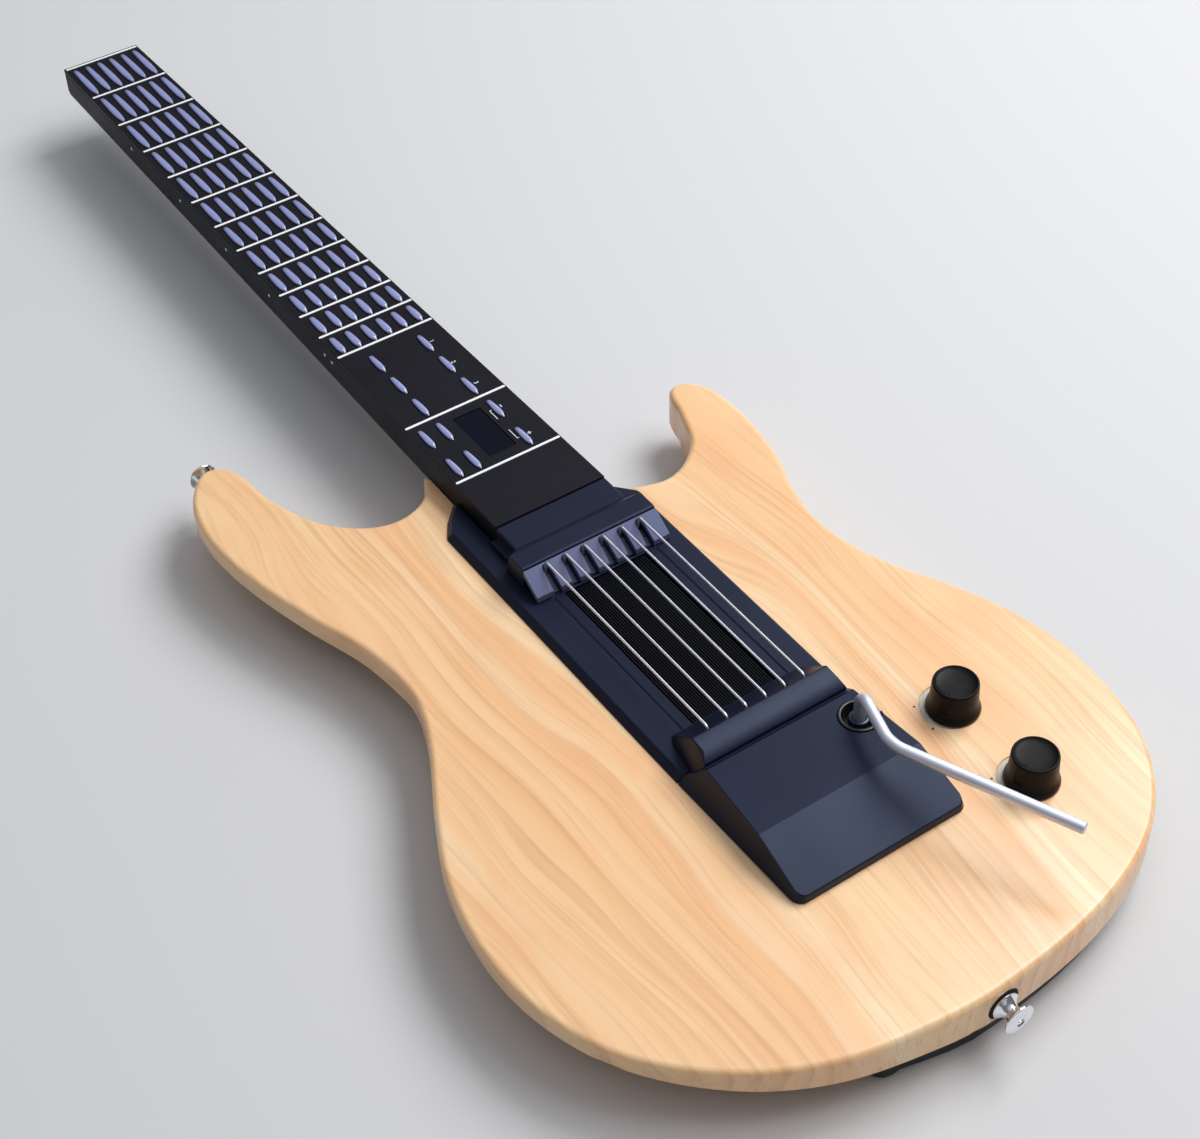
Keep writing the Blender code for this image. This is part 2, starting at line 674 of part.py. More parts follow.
def make_string_deck(deck_plastic):
    (lx, ly), (mx, my) = DECK_LEFT_SHOULDERS
    (rx, ry), (sx, sy) = DECK_RIGHT_SHOULDERS
    side = neck_half(NECK_END) + GAP
    slope = DECK_SLOPE
    start = SEAM_Y + GAP
    foot = [
        (-DECK_HALF, start), (lx, ly), (mx, my), (-side, DECK_LEFT_TOE), (-side, NECK_END - GAP),
        (side, NECK_END - GAP), (side, DECK_RIGHT_TOE), (rx, ry), (sx, sy), (DECK_HALF, start),
    ]
    top = [
        (-DECK_HALF + slope, start), (lx + slope, ly - 1), (mx + 2, my - 2), (-side, DECK_LEFT_TOE - 4),
        (-side, NECK_END - GAP), (side, NECK_END - GAP), (side, DECK_RIGHT_TOE - 4),
        (rx - slope, ry - 1), (sx - slope, sy), (DECK_HALF - slope, start),
    ]
    soft = (1, 2, 7, 8)
    loops = [
        at_height(rounded(foot, DECK_CORNER_RADIUS, 3, soft), WOOD_TOP + GAP),
        at_height(rounded(top, DECK_CORNER_RADIUS, 3, soft), DECK_TOP),
    ]
    deck = add_solid("string_deck", loft(loops), deck_plastic)
    half = RIB_BED_HALF + GAP
    start = RIDGE_FOOT_Y + BED_MARGIN
    end = COMB_LOW_EDGE[0] - BED_MARGIN
    cut(deck, box((-half, start, WOOD_TOP - 1), (half, end, DECK_TOP + 1)))
    place, width, depth = RAIL_GROOVE
    for x in (-place, place):
        cut(deck, box((x - width / 2, start, DECK_TOP - depth), (x + width / 2, end, DECK_TOP + 1)))


def make_rib_bed(bed_plastic):
    """A thin plate with ribs along the strings, as one extruded section."""
    low = WOOD_TOP + GAP
    plate = low + RIB_BED_PLATE
    count = int(2 * RIB_BED_HALF / RIB_BED_PITCH)
    section = [(RIB_BED_HALF, low), (RIB_BED_HALF, plate)]
    for k in reversed(range(count)):
        x = (k - (count - 1) / 2) * RIB_BED_PITCH
        quarter_pitch = RIB_BED_PITCH / 4
        top = plate + RIB_HEIGHT
        section += [
            (x + quarter_pitch, plate), (x + 0.6 * quarter_pitch, top),
            (x - 0.6 * quarter_pitch, top), (x - quarter_pitch, plate),
        ]
    section += [(-RIB_BED_HALF, plate), (-RIB_BED_HALF, low)]
    ends = (RIDGE_FOOT_Y + BED_MARGIN + GAP, COMB_LOW_EDGE[0] - BED_MARGIN - GAP)
    add_solid("rib_bed", loft([[(x, y, z) for x, z in section] for y in ends]), bed_plastic)


def comb_section():
    """(y, z) corners of the comb's sloping plate."""
    (top_y, top_rise), (low_y, low_rise) = COMB_TOP_EDGE, COMB_LOW_EDGE
    top_z, low_z = PANEL_TOP + top_rise, PANEL_TOP + low_rise
    foot = DECK_TOP + GAP
    slope = (top_z - low_z) / (top_y - low_y)
    under_top = top_z - COMB_THICKNESS
    foot_y = top_y - (under_top - foot) / slope
    return [(top_y, top_z), (low_y, low_z), (low_y, foot), (foot_y, foot), (top_y, under_top)]


def make_bridge_block(deck_plastic):
    foot = DECK_TOP + GAP
    panel_seat = PANEL_TOP - BLOCK_SOFT
    start = NECK_END - GAP
    (top_y, _), _, _, (foot_y, _), (_, under_top) = comb_section()
    slope_x, slope_y = BLOCK_SLOPE_END
    corners = (
        (COMB_HALF, slope_y, foot), (COMB_HALF, BLOCK_FRONT, foot), (slope_x, slope_y, panel_seat),
        (COMB_HALF, BLOCK_SHOULDER, BLOCK_TOP), (COMB_HALF, BLOCK_FRONT + BLOCK_SOFT, BLOCK_TOP),
        (COMB_HALF, BLOCK_FRONT, BLOCK_TOP - BLOCK_SOFT),
    )
    saddle = hull([(side * x, y, z) for side in (-1, 1) for x, y, z in corners])
    block = add_solid("bridge_block", saddle, deck_plastic)
    half = BLOCK_BASE_HALF
    base = box((-half, BLOCK_SHOULDER, foot), (half, start, foot + 3))
    half = neck_half(NECK_END)
    rear = box((-half, BLOCK_SHOULDER, foot + 1), (half, start, panel_seat))
    clear = 1.5 * GAP
    wedge = [
        (BLOCK_FRONT + 1, foot), (foot_y + clear, foot),
        (top_y + GAP, under_top - clear), (BLOCK_FRONT + 1, under_top - clear),
    ]
    join(block, rear, base, across(wedge, COMB_HALF - 2))
    for k in range(STRINGS):
        low = (string_x(k), COMB_SLOT_END, STRING_HEIGHT - STRING_BEND - STRING_SINK - GAP)
        high = (string_x(k), COMB_SLOT_END, STRING_HEIGHT)
        cut(block, pin(STRING_RADIUS + RUN, low, high, 6))


def make_comb(comb_plastic):
    comb = add_solid("string_comb", across(comb_section(), COMB_HALF), comb_plastic)
    wide = COMB_SLOT_WIDTH / 2
    steps = [math.pi * k / 4 for k in range(5)]
    for k in range(STRINGS):
        x = string_x(k)
        arc = [(x + wide * math.cos(a), COMB_SLOT_END - wide / 2 + wide * math.sin(a)) for a in steps]
        mouth = COMB_LOW_EDGE[0] - 2
        slot = [*arc, (x - 1.25 * wide, mouth), (x + 1.25 * wide, mouth)]
        cut(comb, prism(slot, DECK_TOP - 1, STRING_HEIGHT))


def make_tail_block(deck_plastic):
    level = WOOD_TOP + GAP
    crease_half, (front_half, front_y) = TAIL_CREASE_HALF, TAIL_TOP_FRONT
    deck_half = DECK_HALF - DECK_SLOPE
    spread = (crease_half - front_half) / (front_y - TAIL_CREASE_Y)
    back_y = TAIL_FOOT_END + 4
    back_half = front_half + spread * (front_y - back_y)

    def ring(front, front_at, back, back_at, z, radius):
        corners = [(-front, front_at), (front, front_at), (back, back_at), (-back, back_at)]
        return at_height(rounded(corners, radius, 4, (2, 3)), z)

    loops = [
        ring(DECK_HALF, SEAM_Y, DECK_HALF, TAIL_FOOT_END, level, TAIL_CORNER_RADIUS + 1),
        ring(deck_half, SEAM_Y, deck_half, TAIL_FOOT_END + 1.8, DECK_TOP, TAIL_CORNER_RADIUS),
        ring(front_half, front_y, back_half, back_y, PANEL_TOP, TAIL_CORNER_RADIUS),
    ]
    mesh = loft(loops)
    crease = Vector((0, TAIL_CREASE_Y, PANEL_TOP))
    end = Vector((0, TAIL_FOOT_END + 1.8, DECK_TOP))
    fall = end - crease
    up = Vector((0, fall.z, -fall.y)).normalized()
    geometry = [*mesh.verts, *mesh.edges, *mesh.faces]
    bmesh.ops.bisect_plane(mesh, geom=geometry, plane_co=crease, plane_no=up, clear_outer=True)
    bmesh.ops.holes_fill(mesh, edges=mesh.edges, sides=0)
    block = add_solid("tail_block", mesh, deck_plastic)
    foot = DECK_TOP + GAP
    near_y, far_y = RIDGE_TOP_Y
    heel_half = (RIDGE_HALF + RIDGE_TOP_HALF) / 2
    corners = (
        (RIDGE_TOP_HALF - 1.3, RIDGE_FOOT_Y, foot), (RIDGE_TOP_HALF + 0.6, RIDGE_FOOT_Y - 3.3, foot),
        (RIDGE_HALF, SEAM_Y, foot), (RIDGE_HALF, SEAM_Y - 4, foot), (RIDGE_TOP_HALF, near_y, RIDGE_TOP),
        (RIDGE_TOP_HALF, far_y, RIDGE_CREST), (heel_half, RIDGE_HEEL_Y, PANEL_TOP - GAP),
        (heel_half, RIDGE_HEEL_Y, foot),
    )
    join(block, hull([(side * x, y, z) for side in (-1, 1) for x, y, z in corners]))
    for k in range(STRINGS):
        low = (string_x(k), STRING_TAIL_Y, STRING_HEIGHT - STRING_BEND - STRING_SINK - GAP)
        cut(block, pin(STRING_RADIUS + RUN, low, (string_x(k), STRING_TAIL_Y, RIDGE_TOP + 2), 6))
        over = STRING_BEND + 1
        start = (string_x(k), STRING_TAIL_Y + over, STRING_HEIGHT + 1)
        end = (string_x(k), STRING_TAIL_Y, STRING_HEIGHT - STRING_BEND)
        cut(block, pin(STRING_RADIUS + RUN, start, end, 6))
    x, y = ARM_PIVOT
    bottom = PANEL_TOP + SOCKET_LIP - SOCKET_DEPTH - GAP
    cut(block, pin(SOCKET_RADIUS + GAP, (x, y, bottom), (x, y, RIDGE_TOP + 2), 20))


def add_tube(name, path, radius, resolution, material, origin=(0.0, 0.0, 0.0)):
    """A round bar along a list of (x, y, z) points."""
    data = bpy.data.curves.new(name, "CURVE")
    data.dimensions = "3D"
    data.bevel_depth = radius * MM
    data.bevel_resolution = resolution
    data.use_fill_caps = True
    spline = data.splines.new("POLY")
    spline.points.add(len(path) - 1)
    for point, place in zip(spline.points, path):
        point.co = (*((Vector(place) - Vector(origin)) * MM), 1)
    made = bpy.data.objects.new(name, data)
    made.location = Vector(origin) * MM
    data.materials.append(material)
    bpy.context.scene.collection.objects.link(made)
    return made


def bent_path(points, radii, pieces):
    """A path through the points with each inner corner bent to its radius."""
    path = [Vector(points[0])]
    for before, corner, after, radius in zip(points, points[1:], points[2:], radii):
        corner = Vector(corner)
        back = (Vector(before) - corner).normalized()
        ahead = (Vector(after) - corner).normalized()
        half = back.angle(ahead) / 2
        reach = radius / math.tan(half)
        for k in range(pieces + 1):
            t = k / pieces
            first = corner + back * reach * (1 - t)
            second = corner + ahead * reach * t
            path.append(first.lerp(second, t))
    return [*path, Vector(points[-1])]


def make_strings(steel):
    for k in range(STRINGS):
        x = string_x(k)
        low = STRING_HEIGHT - STRING_BEND - STRING_SINK
        corners = [
            (x, COMB_SLOT_END, low), (x, COMB_SLOT_END, STRING_HEIGHT),
            (x, STRING_TAIL_Y, STRING_HEIGHT), (x, STRING_TAIL_Y, low),
        ]
        path = bent_path(corners, (STRING_BEND, STRING_BEND), 2)
        add_tube(f"string_{k + 1}", path, STRING_RADIUS, 1, steel)


def make_tremolo(socket_plastic, chrome):
    x, y = ARM_PIVOT
    rim = PANEL_TOP + SOCKET_LIP
    floor = rim - SOCKET_DEPTH
    inner = SOCKET_RADIUS - SOCKET_WALL
    cup = [
        (0, floor), (SOCKET_RADIUS, floor), (SOCKET_RADIUS, rim - 0.5), (SOCKET_RADIUS - 0.5, rim),
        (inner + 0.5, rim), (inner, rim - 0.5), (inner, floor + SOCKET_WALL), (0, floor + SOCKET_WALL),
    ]
    socket = add_solid("arm_socket", turned(cup, 20, moved(x, y)), socket_plastic)
    reach = inner + 0.9
    hole = TRUNNION_RADIUS + RUN
    cut(socket, pin(hole, (x - reach - GAP, y, ROCKER_AXIS), (x + reach + GAP, y, ROCKER_AXIS), 10))
    sleeve_low = floor + SOCKET_WALL + 0.5
    sleeve_top = rim - 1.2
    bore = ARM_RADIUS + RUN
    bore_floor = sleeve_low + 0.8
    sleeve = [
        (0, sleeve_low), (ROCKER_RADIUS, sleeve_low), (ROCKER_RADIUS, sleeve_top - 0.4),
        (ROCKER_RADIUS - 0.4, sleeve_top), (bore, sleeve_top), (bore, bore_floor), (0, bore_floor),
    ]
    pivot = (x, y, ROCKER_AXIS)
    rocker = add_solid("arm_rocker", turned(sleeve, 16, moved(x, y)), chrome, pivot)
    inside = bore + 0.4
    for way in (-1, 1):
        ends = [(x + way * along, y, ROCKER_AXIS) for along in (inside, reach)]
        join(rocker, pin(TRUNNION_RADIUS, *ends, 10))
    corners = [
        (x, y, bore_floor + GAP), (x, y, ARM_HEIGHT), (*ARM_ELBOW, ARM_HEIGHT), (*ARM_TIP, ARM_HEIGHT),
    ]
    add_tube("tremolo_arm", bent_path(corners, ARM_BENDS, 5), ARM_RADIUS, 3, chrome, (x, y, ROCKER_AXIS))


def make_knobs(knob_plastic, pot_metal):
    low = WOOD_TOP + KNOB_LIFT
    top = low + KNOB_HEIGHT
    pot_top = CAVITY_ROOF - GAP
    spindle_end = pot_top - 1.4
    for place, (x, y) in zip(("upper", "lower"), KNOB_CENTRES):
        profile = [
            (0, spindle_end), (SPINDLE_RADIUS, spindle_end), (SPINDLE_RADIUS, low),
            (KNOB_SKIRT_RADIUS, low), (KNOB_SKIRT_RADIUS, low + 0.24 * KNOB_SKIRT_HEIGHT),
            (KNOB_TOP_RADIUS + 0.4, low + KNOB_SKIRT_HEIGHT), (KNOB_TOP_RADIUS, top - 0.7),
            (KNOB_TOP_RADIUS - 0.5, top), (KNOB_TOP_RADIUS - 1.6, top),
            (KNOB_TOP_RADIUS - 4.0, top - 0.75 * KNOB_DISH), (0, top - KNOB_DISH),
        ]
        add_solid(f"{place}_knob", turned(profile, 20, moved(x, y)), knob_plastic, (x, y, low))
        bore = SPINDLE_RADIUS + RUN
        bushing_top = WOOD_TOP - SPOTFACE_DEPTH - GAP
        bore_floor = spindle_end - GAP
        pot = [
            (0, pot_top - POT_HEIGHT), (POT_RADIUS, pot_top - POT_HEIGHT), (POT_RADIUS, pot_top),
            (BUSHING_RADIUS, pot_top), (BUSHING_RADIUS, bushing_top), (bore, bushing_top),
            (bore, bore_floor), (0, bore_floor),
        ]
        add_solid(f"{place}_potentiometer", turned(pot, 12, moved(x, y)), pot_metal)


def cover_outline():
    """The back cover follows the wood's underside on the right and runs straight up on the left."""
    outline = body_outline()
    edge = []
    for (x, y), step in zip(outline, inward(outline)):
        distance = bevel_at(x, y)[0] - COVER_PROUD
        edge.append((x + step.x * distance, y + step.y * distance))
    corner_top = COVER_CORNER[1] + COVER_CORNER_REACH
    start = next(i for i, (x, y) in enumerate(edge) if x > COVER_CORNER[0] and y < corner_top)
    end = next(i for i, (x, y) in enumerate(edge) if i > start and x > 0 and y > COVER_RIGHT_END)
    run = edge[start + 1 : end]
    corner_x, corner_y = COVER_CORNER
    (top_x, _), (top_cut, side_cut), (low_cut, corner_cut) = COVER_SHOULDERS
    end_x, end_y = run[-1]
    loose = [
        ((end_x + top_x) / 2 + top_cut, (end_y + COVER_LEFT_END) / 2), (top_x, COVER_LEFT_END),
        (COVER_LEFT + top_cut, COVER_LEFT_END), (COVER_LEFT, COVER_LEFT_END - side_cut),
        (COVER_LEFT, corner_y + low_cut), (corner_x, corner_y + corner_cut), (corner_x, corner_y),
    ]
    corners = [*run, *loose]
    soft = range(len(run), len(corners))
    return rounded(corners, COVER_CORNER_RADIUS, 3, soft)


def bay_limits():
    """Inner half width, inner low and high Y, and roof height of the battery bay."""
    cell_diameter = 2 * CELL_RADIUS
    half = cell_diameter + 3 * BAY_CLEARANCE / 2
    length = CELLS_IN_ROW * (CELL_LENGTH + CELL_NUB) + 2 * BAY_CLEARANCE + BAY_SPRING_ROOM
    y = BAY_CENTRE[1]
    roof = LID_RECESS + LID_THICKNESS + BAY_CLEARANCE + cell_diameter + BAY_CLEARANCE
    return half, y - length / 2, y + length / 2, roof


def bay_box(grow_x, grow_y, low, high):
    half, low_y, high_y, _ = bay_limits()
    x = BAY_CENTRE[0]
    return box((x - half - grow_x, low_y - grow_y, low), (x + half + grow_x, high_y + grow_y, high))


def lid_hinge():
    half, low_y, high_y, _ = bay_limits()
    x = BAY_CENTRE[0] - half - LID_OVERLAP + LID_THICKNESS / 2
    return x, low_y - LID_OVERLAP, high_y + LID_OVERLAP, LID_RECESS + LID_THICKNESS / 2


def make_rear_cover(cover_plastic):
    outline = cover_outline()
    rim = COVER_DEPTH - GAP
    edge = [(step, z) for step, z in quarter(COVER_EDGE_ROUND, 2)]
    loops = [at_height(inset(outline, step), z) for step, z in [*edge, (0.0, rim)]]
    cover = add_solid("rear_cover", loft(loops), cover_plastic)
    cut(cover, prism(inset(outline, COVER_WALL), COVER_FLOOR, rim + 1))
    low, high = RECESS_Y
    cut(cover, box((RECESS_INNER, low, -1), (RECESS_OUTER, high, rim + 1)))
    roof = bay_limits()[3]
    join(cover, bay_box(BAY_RIM, BAY_RIM, 1.0, roof + BAY_ROOF))
    (x0, y0), (x1, y1) = MAIN_BOARD
    for x in (x0 + POST_INSET, x1 - POST_INSET):
        for y in (y0 + POST_INSET, y1 - POST_INSET):
            join(cover, pin(POST_RADIUS, (x, y, 1.0), (x, y, MAIN_BOARD_HEIGHT - GAP)))
    cut(cover, bay_box(0, 0, -1, roof))
    seat = LID_RECESS + LID_THICKNESS + RUN
    cut(cover, bay_box(LID_OVERLAP + RUN, LID_OVERLAP + RUN, -1, seat))
    x, low_y, high_y, z = lid_hinge()
    reach = LID_PEG_LENGTH + RUN
    cut(cover, pin(LID_PEG_RADIUS + RUN, (x, low_y - reach, z), (x, high_y + reach, z), 10))


def make_battery_lid(cover_plastic):
    x, low_y, high_y, z = lid_hinge()
    radius = LID_THICKNESS / 2
    half = bay_limits()[0]
    far = BAY_CENTRE[0] + half + LID_OVERLAP
    steps = [math.pi / 2 + math.pi * k / 6 for k in range(7)]
    section = [(x + radius * math.cos(a), z + radius * math.sin(a)) for a in steps]
    section += [(far, z - radius), (far, z + radius)]
    loops = [[(a, y, b) for a, b in section] for y in (low_y, high_y)]
    lid = add_solid("battery_lid", loft(loops), cover_plastic, (x, 0, z))
    join(lid, pin(LID_PEG_RADIUS, (x, low_y - LID_PEG_LENGTH, z), (x, high_y + LID_PEG_LENGTH, z), 10))


def make_batteries(cell_finish, contact_metal):
    _, low_y, high_y, _ = bay_limits()
    z = LID_RECESS + LID_THICKNESS + BAY_CLEARANCE + CELL_RADIUS
    profile = [(0.0, 0.0)]
    for k in range(CELLS_IN_ROW):
        start = k * (CELL_LENGTH + CELL_NUB)
        end = start + CELL_LENGTH
        profile += [
            (CELL_RADIUS, start), (CELL_RADIUS, end - 0.8), (CELL_RADIUS - 0.8, end),
            (CELL_NUB_RADIUS, end), (CELL_NUB_RADIUS, end + CELL_NUB),
        ]
    profile.append((0.0, profile[-1][1]))
    offset = CELL_RADIUS + BAY_CLEARANCE / 2
    along = Matrix.Rotation(-math.pi / 2, 4, "X")
    for place, side in (("left", -1), ("right", 1)):
        x = BAY_CENTRE[0] + side * offset
        seat = Matrix.Translation((x, low_y + BAY_CLEARANCE, z)) @ along
        add_solid(f"battery_row_{place}", turned(profile, 10, seat), cell_finish)
    wide = 2 * CELL_RADIUS - 1
    x = BAY_CENTRE[0]
    plate = box((x - wide, high_y - GAP - 0.6, z - 5), (x + wide, high_y - GAP, z + 5))
    contact = add_solid("battery_contact", plate, contact_metal)
    cells_end = low_y + BAY_CLEARANCE + CELLS_IN_ROW * (CELL_LENGTH + CELL_NUB)
    for side in (-1, 1):
        spot = x + side * offset
        join(contact, pin(3.2, (spot, cells_end + GAP, z), (spot, high_y - GAP - 0.3, z), 12))


def make_jack_panel(panel_plastic, switch_plastic):
    low_y, high_y = RECESS_Y
    inner = RECESS_INNER + GAP
    outer = inner + JACK_PANEL_THICKNESS
    middle = RECESS_ROOF / 2
    plate = box((inner, low_y + GAP, GAP), (outer, high_y - GAP, RECESS_ROOF - GAP))
    panel = add_solid("jack_panel", plate, panel_plastic)
    behind = inner + 1
    sockets = [(DIN_RADIUS, y, middle, DIN_DEPTH, 16) for y in DIN_CENTRES]
    sockets.append((PHONES_RADIUS, PHONES_CENTRE, middle, PHONES_DEPTH, 12))
    sockets.append((SUPPLY_RADIUS, *SUPPLY_CENTRE, DIN_DEPTH, 12))
    for radius, y, z, depth, _ in sockets:
        side = radius + SOCKET_SHELL
        join(panel, box((outer - depth - 2, y - side, z - side), (behind, y + side, z + side)))
    for radius, y, z, depth, sides in sockets:
        cut(panel, pin(radius, (outer - depth, y, z), (outer + 1, y, z), sides))
    y, z = SUPPLY_CENTRE
    join(panel, pin(1.0, (outer - DIN_DEPTH - 0.5, y, z), (outer - 2, y, z), 8))
    y, z = SWITCH_CENTRE
    a = (SWITCH_BUTTON + SWITCH_TRAVEL) / 2 + RUN
    b = SWITCH_SLOT_WIDTH / 2
    cut(panel, box((inner - 1, y - a, z - b), (outer + 1, y + a, z + b)))
    near = y - a + RUN
    far = near + SWITCH_BUTTON
    back = inner - RUN - SWITCH_FLANGE
    button = box((back, near, z - b + RUN), (outer + SWITCH_RISE, far, z + b - RUN))
    switch = add_solid("power_switch", button, switch_plastic, (outer, near, z))
    low = (back, near - SWITCH_FLANGE, z - b - SWITCH_FLANGE)
    join(switch, box(low, (inner - RUN, far + SWITCH_FLANGE, z + b + SWITCH_FLANGE)))


def make_main_board(board_green):
    (x0, y0), (x1, y1) = MAIN_BOARD
    low = MAIN_BOARD_HEIGHT
    high = low + BOARD_THICKNESS
    outline = rounded([(x0, y0), (x1, y0), (x1, y1), (x0, y1)], MAIN_BOARD_CORNER, 3)
    board = add_solid("main_board", prism(outline, low, high), board_green)
    for (x, y), (width, length) in CHIPS:
        join(board, box((x, y, high - 0.5), (x + width, y + length, high + CHIP_HEIGHT)))


def make_strap_buttons(chrome, felt):
    for name, (x, y), way in strap_seats():
        turn = Matrix.Rotation(-way * math.pi / 2, 4, "X")
        place = Matrix.Translation((x, y - way * (WASHER_THICKNESS - GAP), STRAP_HEIGHT)) @ turn
        hole = STRAP_SHANK_RADIUS + GAP
        rim = [(WASHER_RADIUS - 0.3, 0), (WASHER_RADIUS, 0.3), (WASHER_RADIUS, WASHER_THICKNESS)]
        washer = turned([(0, 0), *rim, (0, WASHER_THICKNESS)], 16, place)
        disc = add_solid(f"strap_washer_{name}", washer, felt)
        start = Vector(place @ Vector((0, 0, -1)))
        end = Vector(place @ Vector((0, 0, WASHER_THICKNESS + 1)))
        cut(disc, pin(hole, start, end, 10))
        base = WASHER_THICKNESS + GAP
        tip = base + STRAP_LENGTH
        waist = base + 0.45 * STRAP_LENGTH
        flange = STRAP_FLANGE_RADIUS
        shank = STRAP_SHANK_RADIUS
        profile = [
            (0, 2 - STRAP_SHANK_LENGTH), (shank, 4 - STRAP_SHANK_LENGTH), (shank, base),
            (flange - 0.6, base), (flange - 0.6, base + 0.8), (STRAP_WAIST_RADIUS + 1, waist - 1.6),
            (STRAP_WAIST_RADIUS, waist), (STRAP_WAIST_RADIUS + 1, waist + 1.6), (flange, tip - 2.0),
            (flange, tip - 1.0), (flange - 2.4, tip), (0, tip),
        ]
        add_solid(f"strap_button_{name}", turned(profile, 16, place), chrome)


def main():
    for old in list(bpy.data.objects):
        bpy.data.objects.remove(old)
    wood = make_material("clear_coated_wood", (0.85, 0.58, 0.34), 0.35)
    housing_plastic = make_material("neck_black", (0.02, 0.02, 0.022), 0.55)
    panel_plastic = make_material("panel_brown_black", (0.035, 0.03, 0.032), 0.4)
    key_rubber = make_material("key_lavender", (0.45, 0.5, 0.75), 0.35)
    glass = make_material("window_dark", (0.02, 0.02, 0.05), 0.08)
    display_dark = make_material("display_grey", (0.05, 0.05, 0.06), 0.5)
    board_green = make_material("board_green", (0.03, 0.18, 0.08), 0.5)
    deck_plastic = make_material("deck_blue_black", (0.025, 0.028, 0.04), 0.5)
    comb_plastic = make_material("comb_blue_grey", (0.07, 0.08, 0.11), 0.45)
    bed_plastic = make_material("bed_black", (0.012, 0.012, 0.016), 0.6)
    steel = make_material("string_steel", (0.7, 0.7, 0.72), 0.25, 1.0)
    chrome = make_material("bright_chrome", (0.85, 0.86, 0.9), 0.1, 1.0)
    pot_metal = make_material("pot_zinc", (0.5, 0.5, 0.52), 0.45, 1.0)
    cover_plastic = make_material("cover_black", (0.02, 0.02, 0.022), 0.6)
    felt = make_material("washer_felt", (0.015, 0.015, 0.015), 0.95)
    cell_finish = make_material("cell_sleeve", (0.1, 0.12, 0.2), 0.35)
    contact_metal = make_material("contact_nickel", (0.75, 0.72, 0.66), 0.3, 1.0)
    make_wood_body(wood)
    make_neck(housing_plastic)
    make_fret_panel(panel_plastic)
    make_keys(key_rubber)
    make_display(glass, display_dark, board_green)
    make_string_deck(deck_plastic)
    make_rib_bed(bed_plastic)
    make_bridge_block(deck_plastic)
    make_comb(comb_plastic)
    make_tail_block(deck_plastic)
    make_strings(steel)
    make_tremolo(deck_plastic, chrome)
    make_knobs(cover_plastic, pot_metal)
    make_rear_cover(cover_plastic)
    make_battery_lid(cover_plastic)
    make_batteries(cell_finish, contact_metal)
    make_jack_panel(housing_plastic, key_rubber)
    make_main_board(board_green)
    make_strap_buttons(chrome, felt)


main()
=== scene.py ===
# %% [markdown]
# # A digital guitar
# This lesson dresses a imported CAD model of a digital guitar: a wooden body, a plastic neck whose
# frets are rows of sprung keys, and six short steel strings to pluck. The CAD gives every place and
# every joint. Here the pieces get their real surfaces. Sizes are written in millimetres, as a maker
# measures them, and become metres when a mesh is finished.

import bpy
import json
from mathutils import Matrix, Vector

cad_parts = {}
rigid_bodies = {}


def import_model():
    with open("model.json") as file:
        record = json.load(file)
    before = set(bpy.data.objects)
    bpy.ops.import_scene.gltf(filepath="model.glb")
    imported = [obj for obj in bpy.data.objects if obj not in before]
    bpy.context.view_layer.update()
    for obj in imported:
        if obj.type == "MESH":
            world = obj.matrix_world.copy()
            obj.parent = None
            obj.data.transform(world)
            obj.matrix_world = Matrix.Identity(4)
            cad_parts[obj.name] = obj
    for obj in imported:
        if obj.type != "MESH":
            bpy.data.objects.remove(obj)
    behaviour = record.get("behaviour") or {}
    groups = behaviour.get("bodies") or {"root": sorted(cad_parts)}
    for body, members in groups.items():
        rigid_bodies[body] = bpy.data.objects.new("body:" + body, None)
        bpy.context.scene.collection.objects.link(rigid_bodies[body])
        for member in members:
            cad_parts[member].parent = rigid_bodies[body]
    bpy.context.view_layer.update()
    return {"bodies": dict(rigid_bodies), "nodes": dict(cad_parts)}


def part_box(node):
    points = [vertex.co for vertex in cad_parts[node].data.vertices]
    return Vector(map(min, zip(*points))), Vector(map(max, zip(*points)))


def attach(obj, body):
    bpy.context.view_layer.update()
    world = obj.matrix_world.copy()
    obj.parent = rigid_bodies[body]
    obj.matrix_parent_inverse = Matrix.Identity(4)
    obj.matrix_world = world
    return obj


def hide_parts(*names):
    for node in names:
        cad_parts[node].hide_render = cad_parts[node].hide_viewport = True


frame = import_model()

# %% Modules and units
import json
import math

import bmesh
import bpy
from mathutils import Matrix, Vector
from mathutils.geometry import interpolate_bezier

MM = 0.001
WOOD_TOP = 34.0
DECK_TOP = 38.3
PANEL_TOP = 48.4
SCALE_LENGTH = 648.0
NECK_HALF_AT_NUT = 23.0
NECK_TAPER = 0.01466
nodes = frame["nodes"]
at = Matrix.Translation


def box_of(name):
    """Lowest corner, highest corner and middle of a CAD node, in millimetres."""
    low, high = (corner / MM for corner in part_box(name))
    return low, high, (low + high) / 2


def show(thing):
    """Puts an object in the scene."""
    bpy.context.scene.collection.objects.link(thing)
    return thing


def mesh_of(name, shape):
    """A mesh made from a bmesh, which is then freed."""
    data = bpy.data.meshes.new(name)
    shape.to_mesh(data)
    shape.free()
    return data

# %% [markdown]
# The camera stands where the photographer stood. Its place and turn come from the frets: their
# spacing follows a known rule, so a camera can be fitted to them and nothing is moved by eye.

# %% Camera
camera_data = bpy.data.cameras.new("camera")
camera_data.lens = 66.9
camera_data.clip_start = 0.05
camera = show(bpy.data.objects.new("camera", camera_data))
camera.location = (-0.3975, -0.4632, 0.7351)
camera.rotation_euler = [math.radians(angle) for angle in (45.822, 1.117, -34.616)]
bpy.context.scene.camera = camera
print("camera is", round(camera.location.length, 2), "m from the guitar")

# %% [markdown]
# Materials are graphs of nodes. These helpers keep them short: a node is added and wired by name,
# and a group is opened with named inputs and outputs.

